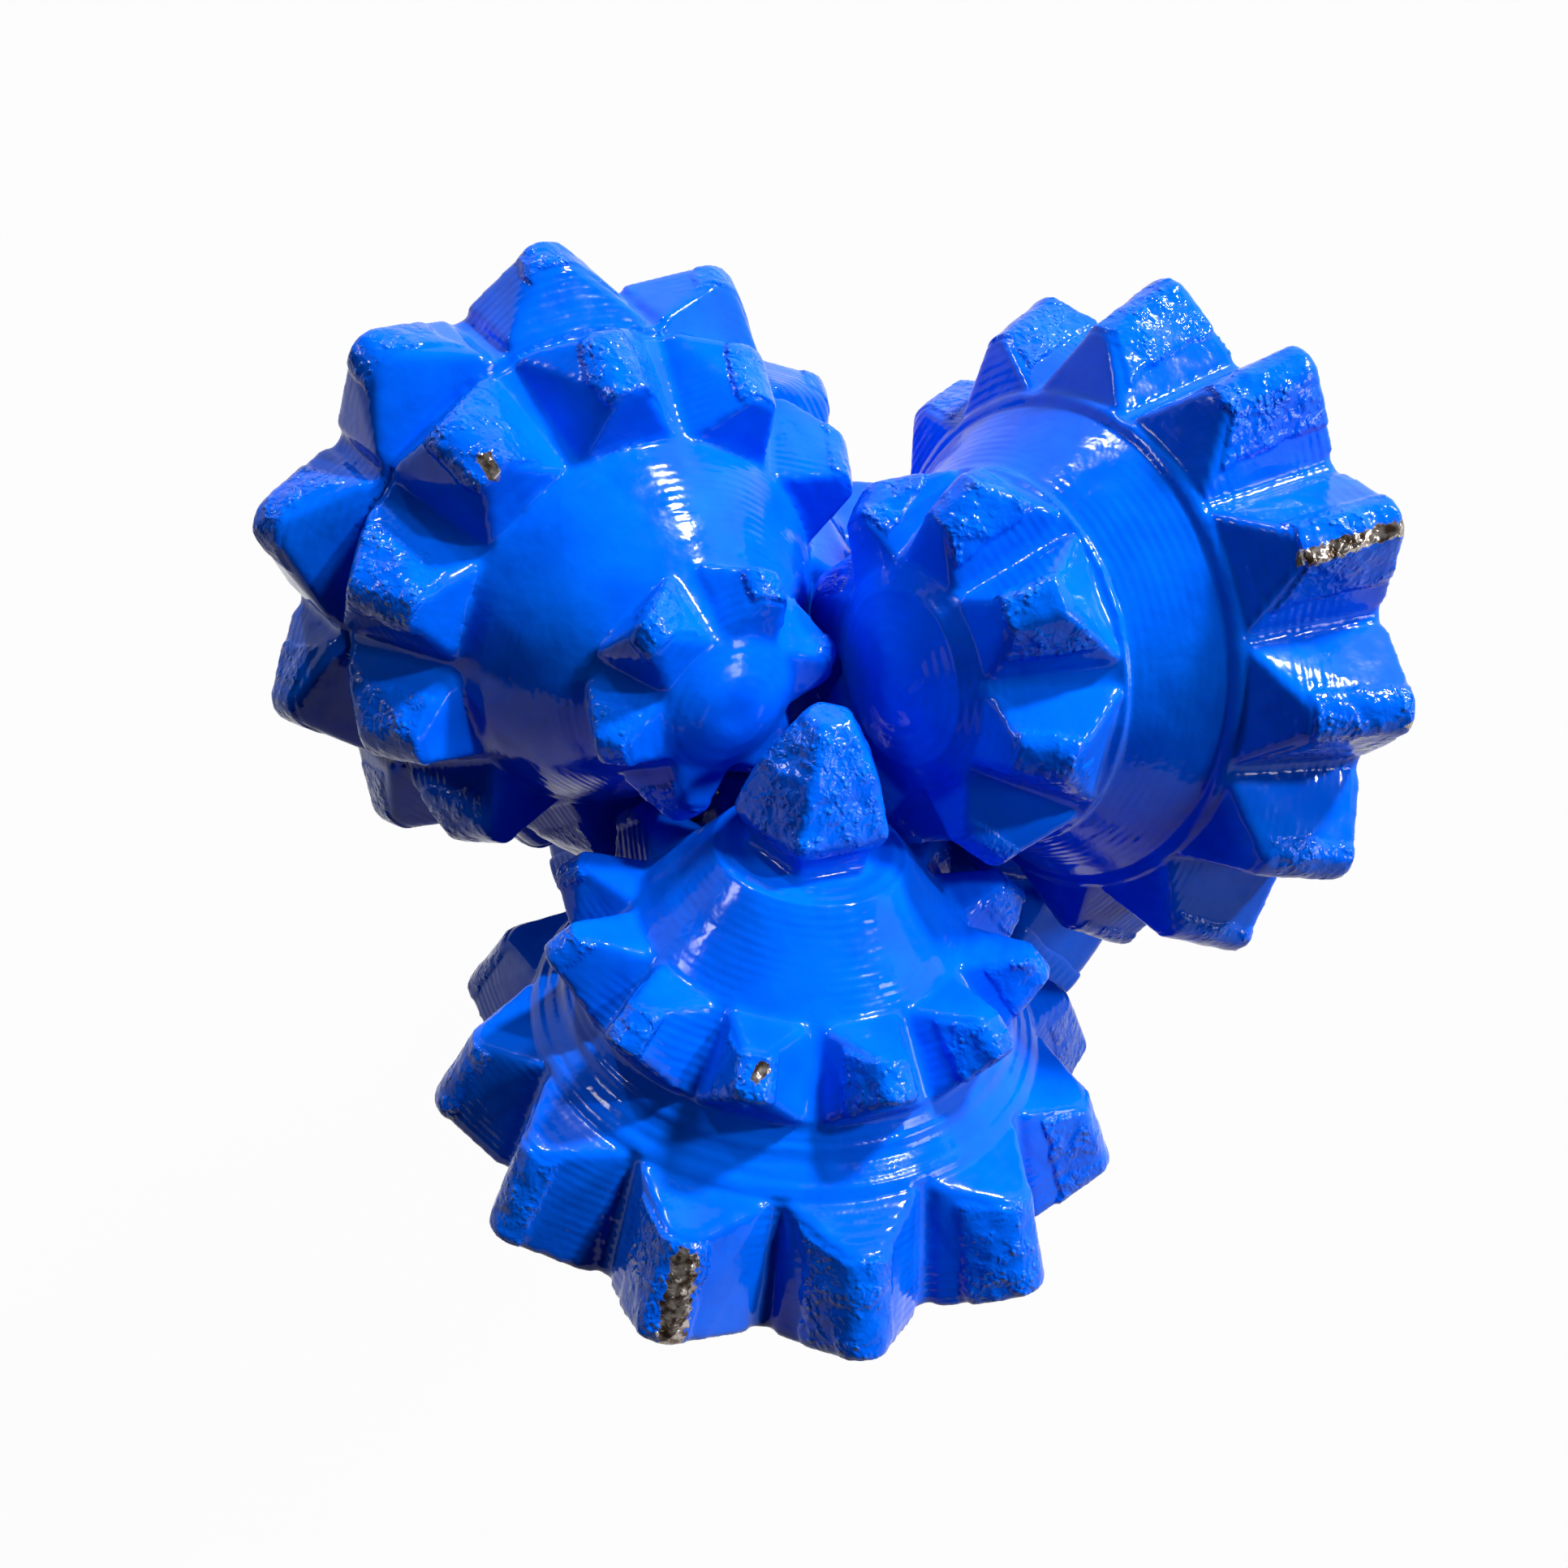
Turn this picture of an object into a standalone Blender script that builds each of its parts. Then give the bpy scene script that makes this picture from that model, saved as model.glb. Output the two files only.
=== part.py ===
"""Milled-tooth tricone drill bit, built piece by piece in metres.

+Z runs along the bit's axis, from the end of the threaded pin at z = 0 up to the three cones.
Each leg carries one cone on a journal. A journal frame has its origin beside the apex where
the journal axes pass the bit's axis, its +Z along the journal from the cone's nose to its
back face, and its +X towards the bottom of the hole. Points of a cone's section are given
as a distance from that origin and an angle from the journal's axis.
"""

import math
from collections import namedtuple

import bmesh
import bpy
from mathutils import Matrix, Vector

# Whole bit
GAGE_DIAMETER = 0.2191
JOURNAL_ANGLE = math.radians(35.5)
JOURNAL_OFFSET = 0.0051
APEX_HEIGHT = 0.293
LEG_AZIMUTHS = tuple(math.radians(degrees) for degrees in (255, 15, 135))

# Gaps and cutter allowances
FIT_GAP = 0.0003
RUNNING_GAP = 0.0003
OVERRUN = 0.004
MERGE_DISTANCE = 0.00001
SHARP_ANGLE = math.radians(35)

# Threaded pin, shoulder and shank
PIN_LENGTH = 0.10795
PIN_END_DIAMETER = 0.0905
PIN_BASE_DIAMETER = 0.11906
PIN_BASE_LENGTH = 0.0127
PIN_END_CHAMFER = 0.0015
PIN_BORE = 0.05715
SHOULDER_DIAMETER = 0.1353
SHANK_DIAMETER = 0.150
SHANK_LENGTH = 0.047
BREAKER_FLAT_WIDTH = 0.054
BREAKER_FLAT_LENGTH = 0.028

# Body between the legs
BODY_DIAMETER = 0.160
BODY_FLARE = 0.010
BODY_SHOULDER_HEIGHT = 0.178
DOME_HEIGHT = 0.195
DOME_DIAMETER = 0.120
PLENUM_HEIGHT = 0.150
PLENUM_PEAK = 0.008

# Leg arm and shirttail
ARM_DIAMETER = 0.2124
ARM_BLANK_TOP = 0.285
ARM_WAIST_DEPTH = 0.0012
ARM_WAIST_TOP = 0.226
ARM_WAIST_BOTTOM = 0.190
ARM_ROOT_HEIGHT = 0.152
ARM_ROOT_DIAMETER = 0.156
ARM_INNER_REACH = 0.040
SHIRTTAIL_RADIUS = 0.0495
ARM_HALF_WIDTH = 0.052
ARM_FOOT_HALF_WIDTH = 0.056
ARM_SPREAD_HEIGHT = 0.200
CONE_CLEARANCE = 0.003
BACK_FACE_GAP = 0.0005

# Bearings on the journal, as places along its axis from the apex and sizes
BACK_FACE = 0.094
SEAL_JOURNAL_DIAMETER = 0.053
SEAL_SECTION = 0.0058
SEAL_CENTRE = 0.0908
JOURNAL_STEP = 0.0872
ROLLER_COUNT = 20
ROLLER_DIAMETER = 0.009
ROLLER_LENGTH = 0.0155
ROLLER_CENTRE = 0.0787
BALL_COUNT = 14
BALL_DIAMETER = 0.011
BALL_CENTRE = 0.058
CONTACT_OVERLAP = 0.0002
RACE_WALL_GAP = 0.0005
CONE_LAND = 0.0005
THRUST_FACE = 0.0513
THRUST_WASHER_THICKNESS = 0.002
THRUST_WASHER_DIAMETER = 0.043
NOSE_PIN_DIAMETER = 0.026
NOSE_PIN_END = 0.041
NOSE_BUSHING_WALL = 0.0033
THRUST_BUTTON_DIAMETER = 0.020
THRUST_BUTTON_THICKNESS = 0.003
BALL_HOLE_ANGLE = math.radians(33)

# Grease reservoir in each leg
RESERVOIR_HEIGHT = 0.208
RESERVOIR_DIAMETER = 0.029
RESERVOIR_DEPTH = 0.026
DIAPHRAGM_LENGTH = 0.0122
DIAPHRAGM_WALL = 0.0022
CAP_THICKNESS = 0.005
CAP_HOLE_DIAMETER = 0.006
SNAP_RING_THICKNESS = 0.0018
SNAP_RING_BITE = 0.0012
SNAP_RING_WIDTH = 0.0030
GREASE_PASSAGE_DIAMETER = 0.005
GREASE_PASSAGE_END_SHARE = 0.62

# Jet nozzle in each leg
NOZZLE_AZIMUTH = math.radians(42)
NOZZLE_INSET = 0.019
NOZZLE_BOSS_DIAMETER = 0.036
NOZZLE_BOSS_HEIGHT = 0.190
NOZZLE_POCKET_DIAMETER = 0.0244
NOZZLE_POCKET_FLOOR = 0.160
NOZZLE_LENGTH = 0.018
NOZZLE_INLET_DIAMETER = 0.018
NOZZLE_ORIFICE_DIAMETER = 0.0111
NOZZLE_SEAL_SECTION = 0.0022
NOZZLE_SEAL_HEIGHT = 0.166
NOZZLE_RING_THICKNESS = 0.0018
NOZZLE_PASSAGE_DIAMETER = 0.018
NOZZLE_PASSAGE_START = 0.018
NOZZLE_PASSAGE_HEIGHT = 0.130
NOZZLE_THROAT_LENGTH = 0.010

# Cone sections: angles from the journal's axis. The journals' offset swings the teeth out past the
# gage surface of their own plane, so that surface is set in from the gage circle
SHELL_ANGLE = math.radians(38.6)
HEEL_CREST_ANGLE = math.radians(43.0)
GAGE_TIP_ANGLE = math.radians(40.3)
HEEL_ROOT_ANGLE = math.radians(33.2)
GAGE_RELIEF = 0.0006
GAGE_INSET = 0.0020
TOOTH_SINK = 0.003
CREST_CROWN = 0.0006

# Number of sides on round pieces
BODY_SEGMENTS = 30
CONE_SEGMENTS = 30
JOURNAL_SEGMENTS = 18
RING_SEGMENTS = 16
SMALL_SEGMENTS = 12
BALL_RINGS = 4
DOME_STEPS = 3
SEAL_SECTION_SEGMENTS = 6
SHIRTTAIL_STEPS = 10
GROOVE_STEPS = 4

# One row of teeth: root and crest are distances of its inner and outer ends from the apex, tips are
# the crest's angles there, crest_width is the flat on top and root_share the pitch's part in a root
Row = namedtuple("Row", "count phase root crest tips crest_width root_share")

# A groove turned round the shell between two distances from the apex, with a raised lip at its outer end
Groove = namedtuple("Groove", "start end depth lip")

# A stretch of the shell that bulges: where it starts and ends, and how far it rises halfway
Dome = namedtuple("Dome", "start end rise")

# One cone: its nose as (height along the axis, radius) points, its rows, groove and dome, and its heel row
Cone = namedtuple("Cone", "nose rows groove dome heel_start heel_crest heel_count heel_phase spear")

# The pointed tooth on the first cone's nose
Spear = namedtuple("Spear", "tip_height tip_radius corner_height corner_radius neck_height neck_radius sides")

HEEL_CREST_WIDTH = 0.0034
HEEL_ROOT_SHARE = 0.88

CONES = (
    Cone(
        nose=((0.024, 0.0), (0.024, 0.0130)),
        rows=(
            Row(12, math.radians(-1), (0.0521, 0.0683), (0.0572, 0.0650),
                (math.radians(49.0), math.radians(48.9)), 0.0030, 0.84),
        ),
        groove=Groove(0.0693, 0.0808, 0.0013, 0.0007),
        dome=None,
        heel_start=0.0820,
        heel_crest=0.0902,
        heel_count=12,
        heel_phase=math.radians(5),
        spear=Spear(-0.0045, 0.0034, 0.0160, 0.0150, 0.0215, 0.0120, 5),
    ),
    Cone(
        nose=((0.0225, 0.0), (0.0225, 0.0085), (0.0245, 0.0168)),
        rows=(
            Row(8, 0.0, (0.0356, 0.0576), (0.0404, 0.0510),
                (math.radians(49.6), math.radians(49.0)), 0.0036, 0.84),
        ),
        groove=Groove(0.0604, 0.0789, 0.0009, 0.0006),
        dome=None,
        heel_start=0.0800,
        heel_crest=0.0902,
        heel_count=13,
        heel_phase=math.radians(4),
        spear=None,
    ),
    Cone(
        nose=((0.0140, 0.0), (0.0140, 0.0050), (0.0155, 0.0102)),
        rows=(
            Row(6, math.radians(2), (0.0235, 0.0369), (0.0271, 0.0330),
                (math.radians(52.0), math.radians(51.6)), 0.0028, 0.80),
            Row(11, math.radians(3.5), (0.0657, 0.0885), (0.0692, 0.0832),
                (math.radians(48.0), math.radians(45.4)), 0.0034, 0.84),
        ),
        groove=Groove(0.0886, 0.0904, 0.0008, 0.0),
        dome=Dome(0.0371, 0.0655, 0.0009),
        heel_start=0.0905,
        heel_crest=0.1006,
        heel_count=11,
        heel_phase=math.radians(4.5),
        spear=None,
    ),
)


def contact_pitch(diameter, count):
    """The pitch circle's radius on which this many rolling pieces just run into each other."""
    return (diameter - CONTACT_OVERLAP) / (2 * math.sin(math.pi / count))


# Sizes that follow from the ones above
GAGE_RADIUS = GAGE_DIAMETER / 2
CUT_RADIUS = GAGE_RADIUS - GAGE_INSET
ROLLER_PITCH = contact_pitch(ROLLER_DIAMETER, ROLLER_COUNT)
BALL_PITCH = contact_pitch(BALL_DIAMETER, BALL_COUNT)
JOURNAL_RADIUS = ROLLER_PITCH - ROLLER_DIAMETER / 2 - RUNNING_GAP
BORE_FACET_SHARE = math.cos(math.pi / JOURNAL_SEGMENTS)
BUSHING_FACET_SHARE = math.cos(math.pi / SMALL_SEGMENTS)
CONE_BORE_RADIUS = (ROLLER_PITCH + ROLLER_DIAMETER / 2 + RUNNING_GAP) / BORE_FACET_SHARE
GROOVE_RADIUS = BALL_DIAMETER / 2 + RUNNING_GAP + RACE_WALL_GAP
NOSE_PIN_RADIUS = NOSE_PIN_DIAMETER / 2
BUSHING_INNER = (NOSE_PIN_RADIUS + RUNNING_GAP) / BUSHING_FACET_SHARE
BUSHING_OUTER = BUSHING_INNER + NOSE_BUSHING_WALL
NOSE_BORE_RADIUS = (BUSHING_OUTER + FIT_GAP) / BORE_FACET_SHARE
CONE_THRUST_FACE = THRUST_FACE - THRUST_WASHER_THICKNESS - 2 * FIT_GAP
CONE_BORE_END = NOSE_PIN_END - THRUST_BUTTON_THICKNESS - 2 * FIT_GAP
BALL_HOLE_RADIUS = BALL_DIAMETER / 2 + 2 * FIT_GAP
GAGE_REACH = CUT_RADIUS / math.cos(GAGE_TIP_ANGLE - JOURNAL_ANGLE)
CLEARANCE_RADIUS = GAGE_REACH * math.sin(GAGE_TIP_ANGLE) + CONE_CLEARANCE
ARM_WAIST_RADIUS = ARM_DIAMETER / 2 - ARM_WAIST_DEPTH
RESERVOIR_FLOOR = ARM_WAIST_RADIUS - RESERVOIR_DEPTH
NOZZLE_CIRCLE_RADIUS = BODY_DIAMETER / 2 - NOZZLE_INSET
NOZZLE_OUTER_RADIUS = NOZZLE_POCKET_DIAMETER / 2 - FIT_GAP
NOZZLE_GROOVE_RADIUS = NOZZLE_OUTER_RADIUS + NOZZLE_SEAL_SECTION + 2 * FIT_GAP
NOZZLE_TOP = NOZZLE_POCKET_FLOOR + FIT_GAP + NOZZLE_LENGTH

Finish = namedtuple("Finish", "name colour roughness metallic")
PAINT = Finish("blue_paint", (0.0, 0.10, 0.75, 1.0), 0.30, 0.0)
STEEL = Finish("bearing_steel", (0.55, 0.56, 0.58, 1.0), 0.25, 1.0)
BRONZE = Finish("bearing_bronze", (0.60, 0.42, 0.20, 1.0), 0.35, 1.0)
RUBBER = Finish("seal_rubber", (0.02, 0.02, 0.02, 1.0), 0.70, 0.0)
CARBIDE = Finish("nozzle_carbide", (0.30, 0.31, 0.33, 1.0), 0.30, 1.0)


def clear_scene():
    """Removes the objects and collections that the scene starts with."""
    for item in list(bpy.data.objects):
        bpy.data.objects.remove(item)
    for item in list(bpy.data.collections):
        bpy.data.collections.remove(item)


def new_collection(name):
    """A collection of this name, linked to the scene."""
    collection = bpy.data.collections.new(name)
    bpy.context.scene.collection.children.link(collection)
    return collection


clear_scene()
PARTS = new_collection("tricone_bit")
CUTTERS = new_collection("cutters")


def material(finish):
    """The Principled material of a finish, made on first use."""
    found = bpy.data.materials.get(finish.name)
    if found:
        return found
    made = bpy.data.materials.new(finish.name)
    made.use_nodes = True
    shader = made.node_tree.nodes["Principled BSDF"]
    shader.inputs["Base Color"].default_value = finish.colour
    shader.inputs["Roughness"].default_value = finish.roughness
    shader.inputs["Metallic"].default_value = finish.metallic
    return made


def add(name, mesh, frame, finish=None):
    """Places a mesh in a frame: a part where it has a finish, a hidden cutter where it has none."""
    piece = bpy.data.objects.new(name, mesh)
    piece.parent = frame
    if finish:
        PARTS.objects.link(piece)
        mesh.materials.append(material(finish))
    else:
        CUTTERS.objects.link(piece)
        piece.hide_render = True
        piece.display_type = "WIRE"
    return piece


def frame_at(name, matrix):
    """An empty that carries the pieces of one local frame."""
    empty = bpy.data.objects.new(name, None)
    PARTS.objects.link(empty)
    empty.matrix_world = matrix
    return empty


def combine(piece, tool, operation, solver="EXACT"):
    """Adds a Boolean step to a piece."""
    step = piece.modifiers.new(tool.name, "BOOLEAN")
    step.operation = operation
    step.object = tool
    step.solver = solver


def forge(leg, tool, operation):
    """Adds a Boolean step to a leg, whose many crossing cuts leave open edges with the exact solver."""
    combine(leg, tool, operation, "MANIFOLD")


def smooth_by_angle():
    """A node group that shades faces smooth and keeps each edge sharp that bends more than the limit."""
    group = bpy.data.node_groups.new("smooth_by_angle", "GeometryNodeTree")
    group.interface.new_socket("Geometry", in_out="INPUT", socket_type="NodeSocketGeometry")
    group.interface.new_socket("Geometry", in_out="OUTPUT", socket_type="NodeSocketGeometry")
    entry, leave = group.nodes.new("NodeGroupInput"), group.nodes.new("NodeGroupOutput")
    faces = group.nodes.new("GeometryNodeSetShadeSmooth")
    edges = group.nodes.new("GeometryNodeSetShadeSmooth")
    edges.domain = "EDGE"
    angle = group.nodes.new("GeometryNodeInputMeshEdgeAngle")
    limit = group.nodes.new("FunctionNodeCompare")
    limit.operation = "LESS_THAN"
    limit.inputs["B"].default_value = SHARP_ANGLE
    group.links.new(entry.outputs[0], faces.inputs["Geometry"])
    group.links.new(faces.outputs[0], edges.inputs["Geometry"])
    group.links.new(angle.outputs["Unsigned Angle"], limit.inputs["A"])
    group.links.new(limit.outputs[0], edges.inputs["Shade Smooth"])
    group.links.new(edges.outputs[0], leave.inputs[0])
    return group


def shade_pieces():
    """Shades the round faces of all the pieces smooth, as the last step of each."""
    group = smooth_by_angle()
    for piece in PARTS.objects:
        if piece.type == "MESH":
            piece.modifiers.new("Smooth by angle", "NODES").node_group = group


def turned(name, outline, segments, frame, finish=None):
    """A body turned about +Z. Its (radius, height) outline runs down the outer side, top to bottom."""
    mesh = bpy.data.meshes.new(name)
    points = [(radius, 0, height) for radius, height in outline]
    edges = [(index, index + 1) for index in range(len(points) - 1)]
    if outline[0][0] > 0:
        edges.append((len(points) - 1, 0))
    mesh.from_pydata(points, edges, [])
    piece = add(name, mesh, frame, finish)
    screw = piece.modifiers.new("Turn", "SCREW")
    screw.steps = segments
    screw.render_steps = segments
    screw.use_merge_vertices = True
    screw.merge_threshold = MERGE_DISTANCE
    return piece


def ring(name, inner, outer, low, high, frame, finish=None, segments=RING_SEGMENTS):
    """A plain ring between two radii and two heights."""
    outline = ((outer, high), (outer, low), (inner, low), (inner, high))
    return turned(name, outline, segments, frame, finish)


def disc(name, radius, low, high, frame, finish=None, segments=RING_SEGMENTS):
    """A plain solid disc about the frame's +Z."""
    return turned(name, ((0, high), (radius, high), (radius, low), (0, low)), segments, frame, finish)


def round_ring(name, section_radius, centre_radius, height, sides, frame, finish):
    """A ring of round section, such as an O-ring."""
    outline = []
    for index in range(sides):
        angle = math.pi / 2 - 2 * math.pi * (index + 0.5) / sides
        across, up = section_radius * math.cos(angle), section_radius * math.sin(angle)
        outline.append((centre_radius + across, height + up))
    return turned(name, outline, RING_SEGMENTS, frame, finish)


def prism(name, outline, start, end, matrix, frame):
    """A flat outline drawn in x and y, pushed along z from start to end, and placed by a matrix."""
    work = bmesh.new()
    face = work.faces.new([work.verts.new((x, y, start)) for x, y in outline])
    grown = bmesh.ops.extrude_face_region(work, geom=[face])["geom"]
    moved = [item for item in grown if isinstance(item, bmesh.types.BMVert)]
    bmesh.ops.translate(work, vec=(0, 0, end - start), verts=moved)
    bmesh.ops.recalc_face_normals(work, faces=work.faces)
    bmesh.ops.transform(work, matrix=matrix, verts=work.verts)
    mesh = bpy.data.meshes.new(name)
    work.to_mesh(mesh)
    work.free()
    return add(name, mesh, frame)


def rod_matrix(start, end):
    """A matrix that lays +Z from the origin along the line from start to end."""
    direction = Vector(end) - Vector(start)
    return Matrix.Translation(start) @ direction.to_track_quat("Z", "Y").to_matrix().to_4x4()


def rod(name, start, end, radius, frame, finish=None, segments=SMALL_SEGMENTS):
    """A straight round bar between two points."""
    length = (Vector(end) - Vector(start)).length
    piece = disc(name, radius, 0, length, frame, finish, segments)
    piece.matrix_local = rod_matrix(start, end)
    return piece


def journal_matrix(azimuth):
    """The frame of the journal at an azimuth, as the opening note describes it."""
    radial = Vector((math.cos(azimuth), math.sin(azimuth), 0))
    tangent = Vector((-math.sin(azimuth), math.cos(azimuth), 0))
    up = Vector((0, 0, 1))
    along = radial * math.cos(JOURNAL_ANGLE) - up * math.sin(JOURNAL_ANGLE)
    towards_hole = radial * math.sin(JOURNAL_ANGLE) + up * math.cos(JOURNAL_ANGLE)
    matrix = Matrix((towards_hole, -tangent, along)).transposed().to_4x4()
    matrix.translation = tangent * JOURNAL_OFFSET + up * APEX_HEIGHT
    return matrix


def in_leg_frame(reach, radius):
    """A point in the leg's middle plane, from its place along the journal and its height off the axis."""
    outward = reach * math.cos(JOURNAL_ANGLE) + radius * math.sin(JOURNAL_ANGLE)
    height = APEX_HEIGHT - reach * math.sin(JOURNAL_ANGLE) + radius * math.cos(JOURNAL_ANGLE)
    return outward, JOURNAL_OFFSET, height


def polar(distance, angle):
    """(height, radius) in a journal frame of a point at this distance and angle from the apex."""
    return distance * math.cos(angle), distance * math.sin(angle)


def on_gage(angle, relief=0.0):
    """(height, radius) of the gage surface's point at this angle, less a relief."""
    return polar((CUT_RADIUS - relief) / math.cos(angle - JOURNAL_ANGLE), angle)


def groove_arc(centre_radius, first_angle, last_angle):
    """Points of a ball race's groove, by angle from the outward direction."""
    points = []
    for index in range(GROOVE_STEPS + 1):
        angle = first_angle + (last_angle - first_angle) * index / GROOVE_STEPS
        points.append((
            centre_radius + GROOVE_RADIUS * math.cos(angle),
            BALL_CENTRE + GROOVE_RADIUS * math.sin(angle),
        ))
    return points


def journal_outline():
    """The journal's section, from the end of the nose pin to its root on the leg's face."""
    lip = math.asin((BALL_PITCH - JOURNAL_RADIUS) / GROOVE_RADIUS)
    seal_radius = SEAL_JOURNAL_DIAMETER / 2
    outline = [
        (0, NOSE_PIN_END),
        (NOSE_PIN_RADIUS, NOSE_PIN_END),
        (NOSE_PIN_RADIUS, THRUST_FACE),
        (JOURNAL_RADIUS, THRUST_FACE),
    ]
    outline += groove_arc(BALL_PITCH, 3 * math.pi / 2 - lip, math.pi / 2 + lip)
    outline += [
        (JOURNAL_RADIUS, JOURNAL_STEP),
        (seal_radius, JOURNAL_STEP),
        (seal_radius, BACK_FACE + BACK_FACE_GAP),
    ]
    return outline


def bore_outline():
    """The cone's bore from past its back face down to its closed nose end."""
    land_radius = BALL_PITCH + CONE_LAND
    lip = math.asin(CONE_LAND / GROOVE_RADIUS)
    roller_low = ROLLER_CENTRE - ROLLER_LENGTH / 2 - FIT_GAP
    outline = [
        (0, BACK_FACE + OVERRUN),
        (CONE_BORE_RADIUS, BACK_FACE + OVERRUN),
        (CONE_BORE_RADIUS, roller_low),
        (land_radius, roller_low),
    ]
    outline += groove_arc(BALL_PITCH, math.pi / 2 - lip, lip - math.pi / 2)
    outline += [
        (land_radius, CONE_THRUST_FACE),
        (NOSE_BORE_RADIUS, CONE_THRUST_FACE),
        (NOSE_BORE_RADIUS, CONE_BORE_END),
        (0, CONE_BORE_END),
    ]
    return outline


def shell_outline(cone):
    """The cone's outer section from its back face to its nose, without the teeth."""
    back_angle = math.atan2(gage_radius_at(BACK_FACE), BACK_FACE)
    stations = [(BACK_FACE, 0), on_gage(back_angle, GAGE_RELIEF), on_gage(HEEL_ROOT_ANGLE, GAGE_RELIEF)]
    marks = [(cone.heel_start, 0)]
    for row in cone.rows:
        marks += [(row.root[0], 0), (row.root[1], 0)]
    groove, dome = cone.groove, cone.dome
    marks += [(groove.start, 0), (groove.start + groove.depth, -groove.depth),
              (groove.end - groove.depth, -groove.depth), (groove.end, groove.lip)]
    if dome:
        for index in range(1, DOME_STEPS):
            share = index / DOME_STEPS
            distance = dome.start + (dome.end - dome.start) * share
            marks.append((distance, dome.rise * 4 * share * (1 - share)))
    stations += [above_shell(distance, lift) for distance, lift in sorted(marks, reverse=True)]
    stations += reversed(cone.nose)
    return [(radius, height) for height, radius in stations]


def above_shell(distance, lift):
    """(height, radius) of a point on the shell's line at this distance, raised off it by a lift."""
    height, radius = polar(distance, SHELL_ANGLE)
    return height - lift * math.sin(SHELL_ANGLE), radius + lift * math.cos(SHELL_ANGLE)


def gage_radius_at(height):
    """The radius about the journal's axis at which a cone's section meets its gage surface."""
    return (CUT_RADIUS - height * math.cos(JOURNAL_ANGLE)) / math.sin(JOURNAL_ANGLE)


def add_hull(work, corners):
    """Adds the convex body round some points to a mesh that is being built."""
    verts = [work.verts.new(corner) for corner in corners]
    hull = bmesh.ops.convex_hull(work, input=verts)
    inner = [item for item in hull["geom_interior"] if isinstance(item, bmesh.types.BMVert)]
    bmesh.ops.delete(work, geom=inner, context="VERTS")


def tooth_row(name, row, frame, outer_root=None, outer_crest=None):
    """All the wedge teeth of one row, sunk a little into the cone's shell."""
    root_inner = polar(row.root[0], SHELL_ANGLE)
    root_outer = outer_root or polar(row.root[1], SHELL_ANGLE)
    crest_inner = polar(row.crest[0], row.tips[0])
    crest_outer = outer_crest or polar(row.crest[1], row.tips[1])
    half_crest = row.crest_width / 2
    corners = []
    for height, radius in (root_inner, root_outer):
        half_root = row.root_share * math.pi * radius / row.count
        for side in (-half_root, half_root):
            corners.append((radius, side, height))
            corners.append((radius - TOOTH_SINK, side, height))
    for height, radius in (crest_inner, crest_outer):
        corners += [(radius, -half_crest, height), (radius, half_crest, height)]
        corners.append((radius + CREST_CROWN, 0, height))
    work = bmesh.new()
    for index in range(row.count):
        turn = Matrix.Rotation(row.phase + 2 * math.pi * index / row.count, 4, "Z")
        add_hull(work, [turn @ Vector(corner) for corner in corners])
    mesh = bpy.data.meshes.new(name)
    work.to_mesh(mesh)
    work.free()
    return add(name, mesh, frame)


def heel_row(cone):
    """The heel row of a cone as a Row. Its outer ends lie on the gage."""
    return Row(cone.heel_count, cone.heel_phase, (cone.heel_start, 0), (cone.heel_crest, 0),
               (heel_crest_angle(cone), GAGE_TIP_ANGLE), HEEL_CREST_WIDTH, HEEL_ROOT_SHARE)


def heel_crest_angle(cone):
    """The angle of the heel crest's inner end, on the line from the deepest heel crest to the gage tip."""
    deepest = min(other.heel_crest for other in CONES)
    share = (GAGE_REACH - cone.heel_crest) / (GAGE_REACH - deepest)
    return GAGE_TIP_ANGLE + (HEEL_CREST_ANGLE - GAGE_TIP_ANGLE) * share


def build_cone(number, cone, frame):
    """A cone shell with its bearing bore and its milled rows of teeth."""
    name = f"cone_{number}"
    piece = turned(name, shell_outline(cone), CONE_SEGMENTS, frame, PAINT)
    bore = turned(f"{name}_bore", bore_outline(), JOURNAL_SEGMENTS, frame)
    combine(piece, bore, "DIFFERENCE")
    heel = tooth_row(f"{name}_heel_teeth", heel_row(cone), frame,
                     on_gage(HEEL_ROOT_ANGLE, GAGE_RELIEF), on_gage(GAGE_TIP_ANGLE))
    combine(piece, heel, "UNION")
    for index, row in enumerate(cone.rows, start=1):
        combine(piece, tooth_row(f"{name}_row_{index}_teeth", row, frame), "UNION")
    if cone.spear:
        spear = cone.spear
        root_height = cone.nose[-1][0] + TOOTH_SINK
        outline = (
            (0, root_height),
            (spear.neck_radius, root_height),
            (spear.neck_radius, spear.neck_height),
            (spear.corner_radius, spear.corner_height),
            (spear.tip_radius, spear.tip_height),
            (0, spear.tip_height),
        )
        combine(piece, turned(f"{name}_spear", outline, spear.sides, frame), "UNION")
    return piece


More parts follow.
